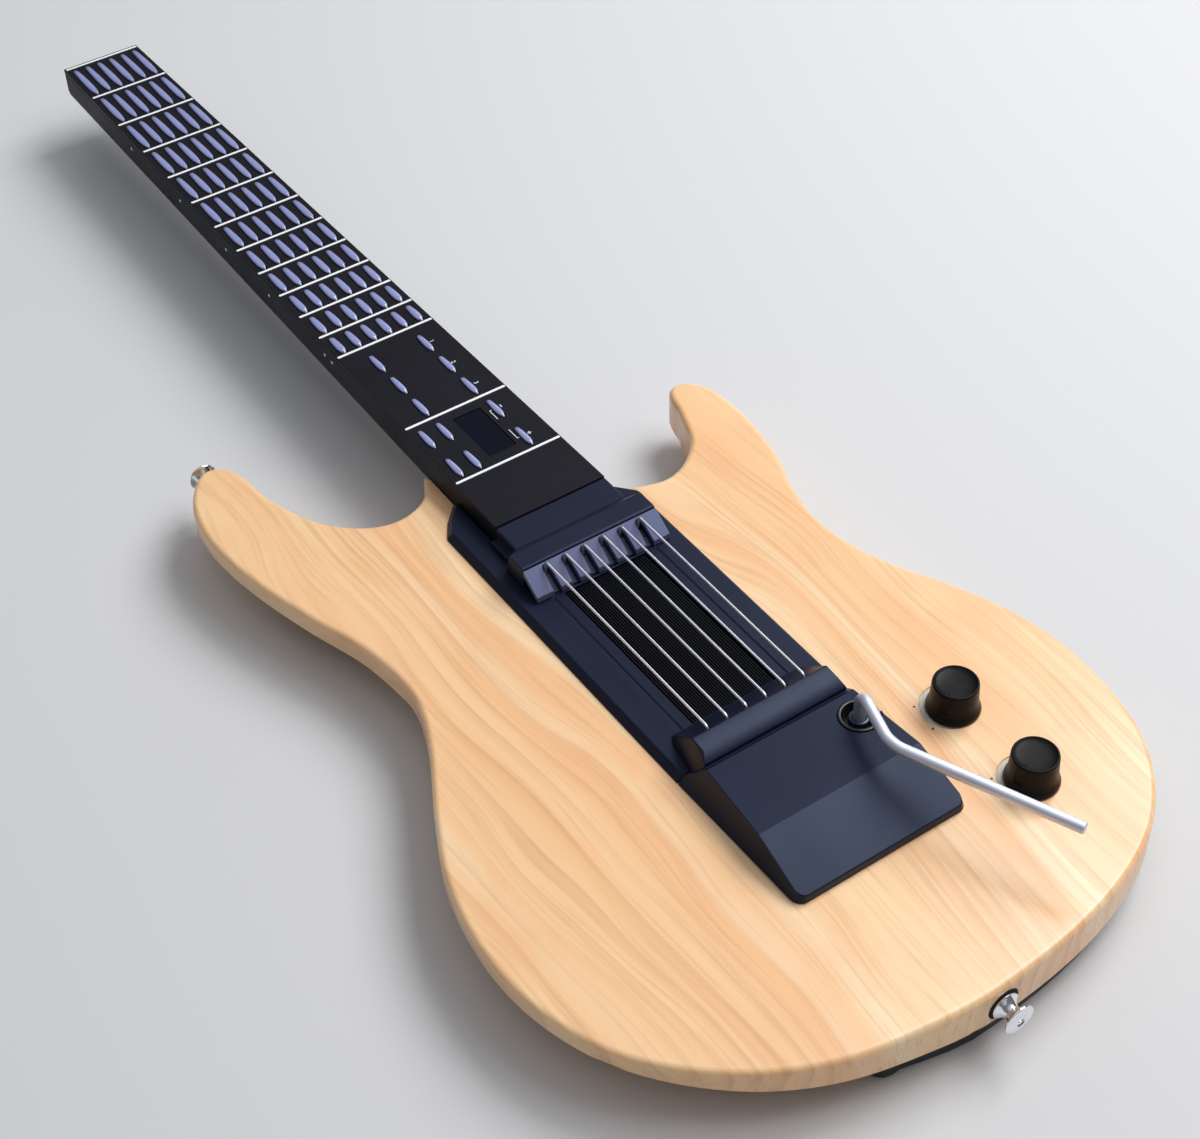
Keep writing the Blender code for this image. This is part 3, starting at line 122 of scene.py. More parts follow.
# %% Node helpers
def new_material(name, plain):
    made = bpy.data.materials.new(name)
    made.use_nodes = True
    shader = made.node_tree.nodes["Principled BSDF"]
    for label, value in plain.items():
        shader.inputs[label].default_value = value
    return made, made.node_tree, shader


def add_node(tree, kind, inputs=None, **settings):
    """Adds a shader node; each input gets a plain value or another node's output."""
    made = tree.nodes.new("ShaderNode" + kind)
    for name, value in settings.items():
        setattr(made, name, value)
    for name, value in (inputs or {}).items():
        if isinstance(value, bpy.types.NodeSocket):
            tree.links.new(value, made.inputs[name])
        else:
            made.inputs[name].default_value = value
    return made


def feed(node, sockets):
    """Wires outputs into a node's inputs, by name."""
    for name, value in sockets.items():
        node.id_data.links.new(value, node.inputs[name])


def reckon(tree, operation, *values):
    return add_node(tree, "Math", dict(enumerate(values)), operation=operation).outputs[0]


def spread(tree, value, low, high, to_low=0.0, to_high=1.0):
    """Stretches a value from one range to another, and holds it there."""
    steps = {"Value": value, "From Min": low, "From Max": high, "To Min": to_low, "To Max": to_high}
    return add_node(tree, "MapRange", steps).outputs["Result"]


def mix(tree, share, first, second):
    """Mixes two colours."""
    return add_node(tree, "Mix", {0: share, 6: first, 7: second}, data_type="RGBA").outputs[2]


def noise(tree, where, scale, detail=2.0, roughness=0.5):
    steps = {"Vector": where, "Scale": scale, "Detail": detail, "Roughness": roughness}
    return add_node(tree, "TexNoise", steps).outputs["Fac"]


def object_place(tree):
    return add_node(tree, "TexCoord").outputs["Object"]


def coordinate(tree, letter):
    return add_node(tree, "SeparateXYZ", {0: object_place(tree)}).outputs[letter]


def stretched(tree, factors):
    """Object coordinates in metres, each multiplied by its factor."""
    return add_node(tree, "Mapping", {"Vector": object_place(tree), "Scale": factors}).outputs["Vector"]


def open_group(name, inputs, outputs):
    """An empty node group; a colour input is given as four numbers."""
    group = bpy.data.node_groups.new(name, "ShaderNodeTree")
    for label, value in inputs.items():
        kind = "NodeSocketColor" if isinstance(value, tuple) else "NodeSocketFloat"
        group.interface.new_socket(label, in_out="INPUT", socket_type=kind).default_value = value
    for label, kind in outputs.items():
        group.interface.new_socket(label, in_out="OUTPUT", socket_type="NodeSocket" + kind)
    given = group.nodes.new("NodeGroupInput").outputs
    print("group:", name)
    return group, given, group.nodes.new("NodeGroupOutput")

# %% [markdown]
# A product table: a pale floor, a large soft lamp high on the right, a second one towards the front,
# and a low one behind that draws the far edges. The sky is dim at the horizon and bright overhead,
# so the dark mouldings stay dark from the side and their tops pick up a cool sheen.

# %% Floor, lamps and sky
FLOOR_DROP = 0.0004
TABLE_MIDDLE = Vector((0, 0.15, 0))
HORIZON, CEILING = 0.16, 0.8


def add_floor():
    sheet = bmesh.new()
    bmesh.ops.create_grid(sheet, x_segments=1, y_segments=1, size=8)
    bmesh.ops.translate(sheet, vec=(0, 0, -FLOOR_DROP), verts=sheet.verts)
    floor = show(bpy.data.objects.new("floor", mesh_of("floor", sheet)))
    pale = {"Base Color": (0.64, 0.64, 0.65, 1), "Roughness": 0.85}
    floor.data.materials.append(new_material("floor_pale", pale)[0])


def add_lamp(name, place, size, watts):
    data = bpy.data.lights.new(name, "AREA")
    data.shape = "DISK"
    data.size = size
    data.energy = watts
    lamp = show(bpy.data.objects.new(name, data))
    lamp.location = place
    lamp.rotation_euler = (TABLE_MIDDLE - Vector(place)).to_track_quat("-Z", "Y").to_euler()


def make_sky():
    world = bpy.data.worlds.new("pale_sky")
    world.use_nodes = True
    tree = world.node_tree
    back = tree.nodes["Background"]
    back.inputs["Color"].default_value = (0.92, 0.95, 1.0, 1)
    way = add_node(tree, "TexCoord").outputs["Generated"]
    upwards = reckon(tree, "MAXIMUM", add_node(tree, "SeparateXYZ", {0: way}).outputs["Z"], 0.0)
    level = reckon(tree, "POWER", upwards, 4.0)
    feed(back, {"Strength": spread(tree, level, 0.0, 1.0, HORIZON, CEILING)})
    return world


add_floor()
add_lamp("main_lamp", (1.35, 0.25, 1.7), 1.3, 32)
add_lamp("front_lamp", (0.9, -0.55, 1.75), 1.2, 12)
add_lamp("back_lamp", (1.3, 1.3, 0.7), 0.8, 2.5)
bpy.context.scene.world = make_sky()
bpy.context.scene.view_settings.view_transform = "Standard"
print("floor, three lamps and a sky from", HORIZON, "to", CEILING)

# %% [markdown]
# Moulded plastic is never one flat colour. The steel mould leaves a fine grain, the tone clouds
# slightly over a hand's width, and so does the gloss. Each plastic sets its own colour and grain.

# %% Group: moulded texture
tree, given, results = open_group(
    "moulded_texture",
    {"Colour": (0.5, 0.5, 0.5, 1.0), "Roughness": 0.5, "Grain per metre": 2400.0, "Cloudiness": 0.15},
    {"Colour": "Color", "Roughness": "Float", "Height": "Float"},
)
where = object_place(tree)
grain = noise(tree, where, given["Grain per metre"])
cloud = reckon(tree, "SUBTRACT", noise(tree, where, 24.0, 3.0), 0.5)
lift = reckon(tree, "MULTIPLY_ADD", cloud, given["Cloudiness"], 1.0)
tone = reckon(tree, "MULTIPLY", lift, spread(tree, grain, 0.3, 0.7, 0.94, 1.06))
steps = {0: given["Colour"], "Scale": tone}
feed(results, {
    "Colour": add_node(tree, "VectorMath", steps, operation="SCALE").outputs[0],
    "Roughness": reckon(tree, "MULTIPLY_ADD", cloud, 0.25, given["Roughness"]),
    "Height": grain,
})
moulded_texture = tree

# %% [markdown]
# Edges wear first. A Bevel node bends the surface normal near an edge; where it differs from the
# true normal there is an edge, and noise breaks the line up so that it looks rubbed, not drawn.

# %% Group: edge wear
tree, given, results = open_group("edge_wear", {"Width": 0.0005, "Amount": 0.4}, {"Mask": "Float"})
rounded = add_node(tree, "Bevel", {"Radius": given["Width"]}, samples=4).outputs["Normal"]
steps = {0: rounded, 1: add_node(tree, "NewGeometry").outputs["Normal"]}
sameness = add_node(tree, "VectorMath", steps, operation="DOT_PRODUCT").outputs["Value"]
patchy = spread(tree, noise(tree, object_place(tree), 260.0, 3.0), 0.35, 0.65)
rubbed = reckon(tree, "MULTIPLY", spread(tree, sameness, 0.98, 0.8), patchy)
feed(results, {"Mask": reckon(tree, "MULTIPLY", rubbed, given["Amount"])})
edge_wear = tree

# %% [markdown]
# Polished metal still carries finger marks. They hardly change its colour; they change how sharply
# it mirrors, so this group gives a roughness that drifts over the surface.

# %% Group: handled metal
tree, given, results = open_group(
    "handled_metal", {"Roughness": 0.15, "Marks": 0.1}, {"Roughness": "Float"})
smudge = reckon(tree, "SUBTRACT", noise(tree, object_place(tree), 130.0, 4.0, 0.65), 0.5)
feed(results, {"Roughness": reckon(tree, "MULTIPLY_ADD", smudge, given["Marks"], given["Roughness"])})
handled_metal = tree

# %% [markdown]
# With the groups ready, a material is a few lines. Only what varies over the surface is wired.

# %% Material makers
def add_bump(shader, height, depth, strength=0.5):
    steps = {"Height": height, "Distance": depth * MM, "Strength": strength}
    feed(shader, {"Normal": add_node(shader.id_data, "Bump", steps).outputs["Normal"]})


def moulded_skin(tree, colour, roughness, grain=2400.0):
    steps = {"Colour": (*colour, 1), "Roughness": roughness, "Grain per metre": grain}
    return add_node(tree, "Group", steps, node_tree=moulded_texture).outputs


def with_worn_edges(tree, skin, worn, wear):
    edge = add_node(tree, "Group", {"Amount": wear}, node_tree=edge_wear).outputs["Mask"]
    return mix(tree, edge, skin["Colour"], (*worn, 1))


def plastic(name, colour, roughness, worn, grain=2400.0, depth=0.02, wear=0.35, plain=None):
    """Moulded plastic whose edges are rubbed to the worn colour."""
    made, tree, shader = new_material(name, plain or {})
    skin = moulded_skin(tree, colour, roughness, grain)
    feed(shader, {"Base Color": with_worn_edges(tree, skin, worn, wear), "Roughness": skin["Roughness"]})
    add_bump(shader, skin["Height"], depth)
    return made


def metal(name, colour, dull, roughness, marks=0.1):
    """Metal that mirrors unevenly; its colour drifts a little towards the dull one."""
    made, tree, shader = new_material(name, {"Metallic": 1.0})
    steps = {"Roughness": roughness, "Marks": marks}
    skin = add_node(tree, "Group", steps, node_tree=handled_metal).outputs
    drift = spread(tree, noise(tree, stretched(tree, (60, 60, 60)), 1.0, 3.0), 0.4, 0.75)
    tint = mix(tree, drift, (*colour, 1), (*dull, 1))
    feed(shader, {"Base Color": tint, "Roughness": skin["Roughness"]})
    return made

# %% [markdown]
# The body is pale timber under a clear, half-gloss coat. Its figure runs along the neck: slow bands
# between pale and orange, growth rings that darken and then stop at a sharp line, and a fine brown
# ripple. Each is a noise stretched along Y, and one slow noise sways them all together.

# %% Material: clear-coated wood
def make_wood():
    made, tree, shader = new_material("clear_coated_wood", {"Coat Weight": 0.45, "Coat Roughness": 0.16})
    bend = noise(tree, stretched(tree, (11, 4.0, 11)), 1.0, 2.0)
    sway = reckon(tree, "MULTIPLY_ADD", bend, 0.07, -0.035)
    parts = add_node(tree, "SeparateXYZ", {0: object_place(tree)}).outputs
    steps = {0: reckon(tree, "ADD", parts["X"], sway), 1: parts["Y"], 2: parts["Z"]}
    along = add_node(tree, "CombineXYZ", steps).outputs[0]

    def drawn_out(across, length, through=0.3):
        steps = {"Vector": along, "Scale": (across, length, across * through)}
        return add_node(tree, "Mapping", steps).outputs[0]

    def figure(across, length, detail, roughness=0.5):
        return noise(tree, drawn_out(across, length), 1.0, detail, roughness)

    bands = spread(tree, figure(34, 2.0, 3.0), 0.38, 0.64)
    pale = spread(tree, figure(52, 1.6, 2.0), 0.5, 0.72)
    steps = {"Vector": drawn_out(1.0, 0.1), "Scale": 34.0, "Distortion": 5.0, "Detail": 2.0,
             "Detail Scale": 0.7}
    saw = add_node(tree, "TexWave", steps, wave_type="BANDS", wave_profile="SAW").outputs["Fac"]
    patches = spread(tree, figure(24, 3.5, 2.0), 0.42, 0.62)
    rings = reckon(tree, "MULTIPLY", spread(tree, saw, 0.45, 1.0), patches)
    ripple = spread(tree, figure(520, 13, 2.0, 0.6), 0.5, 0.74)
    blush = spread(tree, noise(tree, stretched(tree, (38, 22, 38)), 1.0, 3.0), 0.5, 0.72)
    colour = mix(tree, bands, (0.93, 0.63, 0.345, 1), (0.9, 0.515, 0.255, 1))
    for mask, strength, tint in ((pale, 0.55, (0.95, 0.76, 0.5)), (blush, 0.4, (0.88, 0.46, 0.22)),
                                 (rings, 0.32, (0.6, 0.27, 0.1)), (ripple, 0.34, (0.54, 0.25, 0.09))):
        colour = mix(tree, reckon(tree, "MULTIPLY", mask, strength), colour, (*tint, 1))
    feed(shader, {"Base Color": colour, "Roughness": spread(tree, ripple, 0, 1, 0.36, 0.46)})
    add_bump(shader, ripple, 0.015, 0.3)
    return made


wood = make_wood()
print("material:", wood.name)

# %% [markdown]
# The plastics differ more than they seem to: the neck is near black, its printed front is warmer,
# the string block is blue-black, and the keys are a milky lavender.

# %% Materials: plastics and metals
# The bluish Specular Tints are painted light: they colour the sheen of these plastics a cool blue.
MATT = {"Specular IOR Level": 0.16, "Specular Tint": (0.8, 0.88, 1.0, 1.0)}
SATIN = {"Specular IOR Level": 0.3, "Specular Tint": (0.6, 0.74, 1.0, 1.0)}
neck_black = plastic("neck_black", (0.006, 0.006, 0.01), 0.5, (0.03, 0.03, 0.04), plain=MATT)
panel_black = plastic("panel_black", (0.0095, 0.009, 0.0125), 0.45, (0.04, 0.035, 0.04), grain=3000.0,
                      plain=MATT)
deck_black = plastic("deck_blue_black", (0.007, 0.009, 0.026), 0.42, (0.05, 0.055, 0.08), plain=SATIN)
comb_grey = plastic("comb_blue_grey", (0.12, 0.13, 0.235), 0.42, (0.2, 0.21, 0.27), plain=SATIN)
bed_black = plastic("bed_black", (0.004, 0.004, 0.007), 0.6, (0.02, 0.02, 0.024), plain=MATT)
white_print = plastic("white_print", (0.9, 0.92, 0.95), 0.4, (0.6, 0.6, 0.62), depth=0.005, wear=0.2)
black_print = plastic("black_print", (0.02, 0.02, 0.02), 0.5, (0.05, 0.05, 0.05), depth=0.005, wear=0.1)
cover_black = plastic("cover_black", (0.014, 0.014, 0.015), 0.55, (0.05, 0.05, 0.05), grain=1400.0,
                      depth=0.06)
socket_black = plastic("socket_black", (0.012, 0.012, 0.014), 0.35, (0.04, 0.04, 0.045))
switch_grey = plastic("switch_grey", (0.2, 0.21, 0.27), 0.45, (0.35, 0.36, 0.42))
washer_black = plastic("washer_black", (0.012, 0.012, 0.012), 0.9, (0.03, 0.03, 0.03), grain=900.0,
                       depth=0.15)
window_glass = plastic("window_glass", (0.002, 0.0025, 0.009), 0.1, (0.02, 0.025, 0.05), grain=300.0,
                       depth=0.002, wear=0.2, plain=SATIN)
module_grey = plastic("module_grey", (0.05, 0.055, 0.05), 0.5, (0.1, 0.1, 0.1))
string_steel = metal("string_steel", (0.8, 0.81, 0.88), (0.74, 0.75, 0.82), 0.42, 0.08)
arm_chrome = metal("arm_satin_chrome", (0.76, 0.79, 0.9), (0.69, 0.73, 0.84), 0.56, 0.08)
bright_chrome = metal("bright_chrome", (0.84, 0.86, 0.9), (0.78, 0.8, 0.85), 0.08, 0.08)
dull_zinc = metal("dull_zinc", (0.5, 0.5, 0.51), (0.4, 0.4, 0.41), 0.42, 0.2)
# Pale colour for the knob washers: a painted highlight crescent.
painted_highlight_washer = plastic("painted_highlight_washer", (0.6, 0.57, 0.52), 0.7, (0.66, 0.64, 0.6), grain=1200.0)
nickel = metal("contact_nickel", (0.7, 0.68, 0.63), (0.6, 0.57, 0.5), 0.28, 0.15)
sleeve_blue = plastic("sleeve_blue_black", (0.022, 0.022, 0.05), 0.3, (0.1, 0.1, 0.16))
black_steel = metal("black_steel", (0.06, 0.06, 0.065), (0.04, 0.04, 0.04), 0.35, 0.15)
print("materials:", len(bpy.data.materials))

# %% [markdown]
# The keys are thick milky plastic. Their flanks carry painted shade: the colour follows the height above
# the panel, palest on the crest and navy low on the flanks, where they lie in shade. A clear gloss
# gives each key one bright streak.

# %% Material: key lavender
def make_key_lavender():
    made, tree, shader = new_material("key_lavender", {"Coat Weight": 1.0, "Coat Roughness": 0.1})
    # Painted shade: the colour turns from lavender on the crest to navy low on the flanks.
    painted_shade_fade = spread(tree, coordinate(tree, "Z"), (PANEL_TOP + 0.35) * MM, (PANEL_TOP + 0.95) * MM)
    skin = moulded_skin(tree, (0.28, 0.31, 0.59), 0.3, 1500.0)
    colour = mix(tree, painted_shade_fade, (0.012, 0.014, 0.045, 1), skin["Colour"])
    feed(shader, {"Base Color": colour, "Roughness": skin["Roughness"]})
    add_bump(shader, skin["Height"], 0.006)
    return made


key_blue = make_key_lavender()
print("material:", key_blue.name)

# %% [markdown]
# Two finishes change from place to place on one piece: a circuit board whose chips are darker than
# its green lacquer, and cells whose sleeve changes colour towards one end.

# %% Materials: board and cells
def make_board(top_of_board):
    made, tree, shader = new_material("board_green", {"Coat Weight": 0.3, "Coat Roughness": 0.2})
    steps = {"Vector": object_place(tree), "Scale": 90.0, "Mortar Size": 0.06}
    tracks = add_node(tree, "TexBrick", steps, offset=0.37).outputs["Fac"]
    lacquer = mix(tree, tracks, (0.012, 0.12, 0.05, 1), (0.03, 0.2, 0.08, 1))
    chip = spread(tree, coordinate(tree, "Z"), top_of_board, top_of_board + 0.0002)
    patchy = spread(tree, noise(tree, stretched(tree, (300, 300, 300)), 1.0), 0.3, 0.7, 0.3, 0.5)
    feed(shader, {"Base Color": mix(tree, chip, lacquer, (0.015, 0.015, 0.017, 1)), "Roughness": patchy})
    return made


def make_cell_sleeve(first_end, length):
    made, tree, shader = new_material("cell_sleeve", {"Coat Weight": 0.4})
    far = reckon(tree, "SUBTRACT", coordinate(tree, "Y"), first_end)
    share = reckon(tree, "FRACT", reckon(tree, "DIVIDE", far, length))
    end = spread(tree, reckon(tree, "ABSOLUTE", reckon(tree, "SUBTRACT", share, 0.5)), 0.475, 0.48)
    colour = mix(tree, spread(tree, share, 0.66, 0.67), (0.02, 0.022, 0.03, 1), (0.45, 0.2, 0.08, 1))
    patchy = spread(tree, noise(tree, stretched(tree, (200, 60, 200)), 1.0), 0.3, 0.7, 0.22, 0.4)
    feed(shader, {"Base Color": mix(tree, end, colour, (0.6, 0.6, 0.6, 1)), "Metallic": end,
                  "Roughness": patchy})
    return made


main_green = make_board(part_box("main_board")[0].z + 0.0016)
key_green = make_board(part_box("key_board")[1].z + 0.001)
cell_sleeve = make_cell_sleeve(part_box("battery_row_left")[0].y, 0.0503)
carried_over = {
    "display_module": module_grey, "key_board": key_green, "main_board": main_green,
    "upper_potentiometer": dull_zinc, "lower_potentiometer": dull_zinc,
    "battery_row_left": cell_sleeve, "battery_row_right": cell_sleeve, "battery_contact": nickel,
}
for name, finish in carried_over.items():
    nodes[name].material_slots[0].material = finish
print("CAD pieces kept with a new finish:", len(carried_over))

# %% [markdown]
# Every new piece starts as a bmesh in millimetres. One helper finishes it: it merges doubled
# points, turns the faces outwards, scales to metres, shades it, and lets it ride on its body.

# %% Finishing a piece
def merge(shape, reach=0.0005):
    bmesh.ops.remove_doubles(shape, verts=shape.verts, dist=reach)


def new_piece(name, shape, material, replaced=None, smooth=32):
    """A finished piece; it rides on the body of the CAD piece it replaces, if that one moves."""
    merge(shape)
    bmesh.ops.recalc_face_normals(shape, faces=shape.faces)
    open_edges = sum(1 for edge in shape.edges if not edge.is_manifold)
    bmesh.ops.scale(shape, vec=(MM, MM, MM), verts=shape.verts)
    data = mesh_of(name, shape)
    data.materials.append(material)
    data.shade_smooth()
    data.set_sharp_from_angle(angle=math.radians(smooth))
    piece = show(bpy.data.objects.new(name, data))
    piece.modifiers.new("even_shading", "WEIGHTED_NORMAL").keep_sharp = True
    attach(piece, replaced if replaced in frame["bodies"] else "guitar")
    if replaced:
        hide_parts(replaced)
    print(f"{name}: {len(data.polygons)} faces, {open_edges} open edges")
    return piece


def as_evaluated(thing):
    """A bmesh of an object with its modifiers applied."""
    bpy.context.view_layer.update()
    shape = bmesh.new()
    shape.from_mesh(thing.evaluated_get(bpy.context.evaluated_depsgraph_get()).to_mesh())
    return shape


def carve(shape, *cutters):
    """Cuts closed shapes out of another with exact Booleans, and gives back the result."""
    helpers = []
    for part in (shape, *cutters):
        bmesh.ops.recalc_face_normals(part, faces=part.faces)
        helpers.append(show(bpy.data.objects.new("carving", mesh_of("carving", part))))
    work = helpers[0]
    for helper in helpers[1:]:
        boolean = work.modifiers.new("cut", "BOOLEAN")
        boolean.operation = "DIFFERENCE"
        boolean.solver = "EXACT"
        boolean.object = helper
    result = as_evaluated(work)
    for helper in helpers:
        data = helper.data
        bpy.data.objects.remove(helper)
        bpy.data.meshes.remove(data)
    return result

# %% [markdown]
# A few shapes come back again and again: a plate pulled up from an outline, a solid turned as on a
# lathe, a round bar pulled along a path, and a CAD piece with its edges eased.

# %% Shape makers
def verts_in(geometry):
    return [part for part in geometry if isinstance(part, bmesh.types.BMVert)]


def plate(outline, low, high):
    """A flat outline pulled up into a plate."""
    shape = bmesh.new()
    face = shape.faces.new([shape.verts.new((x, y, low)) for x, y in outline])
    pulled = bmesh.ops.extrude_face_region(shape, geom=[face])["geom"]
    bmesh.ops.translate(shape, vec=(0, 0, high - low), verts=verts_in(pulled))
    return shape


def block(low, high):
    shape = bmesh.new()
    low, high = Vector(low), Vector(high)
    bmesh.ops.create_cube(shape, size=1.0)
    bmesh.ops.scale(shape, vec=high - low, verts=shape.verts)
    bmesh.ops.translate(shape, vec=(low + high) / 2, verts=shape.verts)
    return shape


def placed(shape, matrix):
    bmesh.ops.transform(shape, matrix=matrix, verts=shape.verts)
    return shape


def turned(profile, steps=64, place=Matrix()):
    """A profile of (radius, height) points spun round the Z axis, then put in place."""
    shape = bmesh.new()
    line = [shape.verts.new((radius, 0, height)) for radius, height in profile]
    edges = [shape.edges.new(pair) for pair in zip(line, line[1:])]
    bmesh.ops.spin(shape, geom=[*line, *edges], cent=(0, 0, 0), axis=(0, 0, 1), dvec=(0, 0, 0),
                   angle=math.tau, steps=steps, use_merge=True, use_duplicate=False)
    merge(shape)
    return placed(shape, place)


def drum(radius, low, high, steps=40, place=Matrix()):
    return turned([(0, low), (radius, low), (radius, high), (0, high)], steps, place)


def gather(*shapes):
    """One bmesh from several."""
    whole = bmesh.new()
    for shape in shapes:
        data = mesh_of("part", shape)
        whole.from_mesh(data)
        bpy.data.meshes.remove(data)
    return whole


def shifted(shape, x=0.0, y=0.0, z=0.0):
    bmesh.ops.translate(shape, vec=(x, y, z), verts=shape.verts)
    return shape


def soften(shape, offset, segments, wanted, kind="EDGES"):
    """Rounds the edges, or the flat corners, that pass a test."""
    parts = shape.edges if kind == "EDGES" else shape.verts
    bmesh.ops.bevel(shape, geom=[part for part in parts if wanted(part)], offset=offset,
                    segments=segments, profile=0.5, affect=kind, clamp_overlap=False, material=-1)
    return shape


def sharp(angle):
    return lambda edge: edge.is_manifold and edge.calc_face_angle() > math.radians(angle)


def at_height(z):
    return lambda edge: all(abs(vert.co.z - z) < 0.01 for vert in edge.verts)


def upright(edge):
    first, second = edge.verts
    return (first.co.xy - second.co.xy).length < 0.01


def eased(name, offset, segments=2, angle=35, adjust=None):
    """A copy of a CAD piece: its facets are joined first, and then its hard edges are rounded."""
    shape = bmesh.new()
    shape.from_mesh(nodes[name].data)
    bmesh.ops.scale(shape, vec=(1 / MM,) * 3, verts=shape.verts)
    merge(shape, 0.01)
    bmesh.ops.dissolve_limit(shape, angle_limit=math.radians(1), verts=shape.verts, edges=shape.edges)
    if adjust:
        adjust(shape)
    return soften(shape, offset, segments, sharp(angle))


def rod(path, radius, sides, tip=0.0):
    """A circle pulled from point to point along a path, turned square to it at each."""
    path = [Vector(point) for point in path]
    ways = [(after - before).normalized() for before, after in zip(path, path[1:])]
    turns = [ways[0], *((a + b).normalized() for a, b in zip(ways, ways[1:])), ways[-1]]
    shape = bmesh.new()
    start = at(path[0]) @ ways[0].to_track_quat("Z", "Y").to_matrix().to_4x4()
    bmesh.ops.create_circle(shape, cap_ends=True, segments=sides, radius=radius, matrix=start)
    front = list(shape.faces)
    for before, here, old_way, way in zip(path, path[1:], turns, turns[1:]):
        front, ring = push(shape, front)
        turn = old_way.rotation_difference(way).to_matrix().to_4x4()
        move = at(here) @ turn @ at(-before)
        bmesh.ops.transform(shape, matrix=move, verts=ring)
    if tip:
        soften(shape, tip, 3, lambda edge: edge in set(front[0].edges))
    return shape


def push(shape, faces):
    """Pulls faces out in place; gives the new faces and their verts."""
    around = {part for face in faces for part in (*face.edges, *face.verts)}
    geometry = bmesh.ops.extrude_face_region(shape, geom=[*faces, *around])["geom"]
    return [part for part in geometry if isinstance(part, bmesh.types.BMFace)], verts_in(geometry)


def bent(corners, radii, pieces):
    """A path through the corners, with each inner one bent to its radius."""
    path = [Vector(corners[0])]
    for before, corner, after, radius in zip(corners, corners[1:], corners[2:], radii):
        corner = Vector(corner)
        back = (Vector(before) - corner).normalized()
        ahead = (Vector(after) - corner).normalized()
        reach = radius / math.tan(back.angle(ahead) / 2)
        ends = (corner + back * reach, corner + ahead * reach)
        handle = reach * 0.55
        path += interpolate_bezier(ends[0], ends[0] - back * handle, ends[1] - ahead * handle, ends[1],
                                   pieces + 1)
    return [*path, Vector(corners[-1])]

# %% [markdown]
# The body's outline is drawn through landmarks: each stretch is a Bezier curve that leaves and
# arrives in the direction of its neighbours. The edge is rounded on top, and cut back underneath by
# a bevel that grows towards the bass side.

# %% Wood body: outline
EDGE_HIGHLIGHT = 0.97
COVER_TOP = 10.0
TOP_ROUND = 3.0
LEFT_CUSP = (-30.2, 238.0)
RIGHT_CUSP = (38.5, 177.6)
BODY_LANDMARKS = (
    LEFT_CUSP, (-38.4, 226.0), (-54.9, 220.2), (-71.3, 225.3), (-87.3, 241.9), (-97.8, 269.0),
    (-102.0, 295.0), (-111.5, 303.3), (-122.5, 295.0), (-130.6, 278.0), (-133.0, 255.0),
    (-129.5, 225.8), (-120.4, 190.4), (-110.1, 158.8), (-106.4, 129.0), (-108.9, 112.0),
    (-117.5, 90.8), (-135.2, 57.2), (-148.6, 25.7), (-154.6, -12.0), (-151.1, -46.0),
    (-137.4, -78.1), (-109.0, -107.2), (-74.7, -125.2), (-32.8, -133.6), (0.0, -135.3),
    (49.5, -129.7), (89.5, -115.9), (115.4, -95.0), (131.5, -67.0), (138.1, -30.0),
    (136.4, 0.6), (126.5, 32.4), (107.8, 72.1), (101.4, 103.5), (104.9, 128.7), (114.4, 155.8),
    (119.5, 188.5), (118.0, 212.0), (111.5, 222.0), (102.0, 222.8), (95.9, 205.6),
    (85.8, 183.6), (64.2, 170.9), RIGHT_CUSP,
)
NECK_CORNER = (30.2, 187.0)


def smooth_line(landmarks, step):
    line = []
    points = [Vector(landmark) for landmark in landmarks]
    padded = [points[0], *points, points[-1]]
    for before, start, end, after in zip(padded, padded[1:], padded[2:], padded[3:]):
        reach = (end - start).length / 3
        leave = start + (end - before).normalized() * reach
        arrive = end - (after - start).normalized() * reach
        pieces = max(2, round(3 * reach / step) + 1)
        line += interpolate_bezier(start, leave, arrive, end, pieces)[:-1]
    return [point.to_2d() for point in (*line, points[-1])]


def inward_steps(outline):
    """For each corner, the step that moves both of its sides inwards by one millimetre."""
    steps = []
    for i, here in enumerate(outline):
        before = (here - outline[i - 1]).normalized()
        after = (outline[(i + 1) % len(outline)] - here).normalized()
        normal = Vector((-before.y - after.y, before.x + after.x)).normalized()
        steps.append(normal / max(0.7, normal.dot(Vector((-after.y, after.x)))))
    return steps


def share_of_way(value, start, end):
    return min(1.0, max(0.0, (value - start) / (end - start)))


def under_bevel(x, y):
    """Inset and height of the bevel under the edge."""
    deeper = share_of_way(x, -15, -140) * (1 - share_of_way(y, 268, 300))
    height = 4.5 + 11.2 * deeper
    return height * (1.1 - 0.5 * share_of_way(y, 150, 210)), height


drawn = [*smooth_line(BODY_LANDMARKS, 3.0), Vector(NECK_CORNER)]
body_line = [point - step * EDGE_HIGHLIGHT for point, step in zip(drawn, inward_steps(drawn))]
print("outline points:", len(body_line))

# %% [markdown]
# The blank is one face pulled down twice: to where the bevel starts, and then to the underside
# while each point slides inwards. The cavities are cut as a router cuts them: the neck pocket, the
# room for the electronics, the ring under each knob, and the seats of the strap buttons.

# %% Wood body: solid
def body_blank():
    shape = bmesh.new()
    face = shape.faces.new([shape.verts.new((point.x, point.y, WOOD_TOP)) for point in body_line])
    steps = inward_steps(body_line)
    front, ring = push(shape, [face])
    for vert, point in zip(matching(ring, body_line), body_line):
        vert.co.z = COVER_TOP + under_bevel(point.x, point.y)[1]
    shoulder = set(front[0].edges)
    front, ring = push(shape, front)
    for vert, point, step in zip(matching(ring, body_line), body_line, steps):
        vert.co.xy = point + step * under_bevel(point.x, point.y)[0]
        vert.co.z = COVER_TOP
    soften(shape, 1.2, 3, lambda edge: edge in shoulder)
    return soften(shape, TOP_ROUND, 6, at_height(WOOD_TOP))


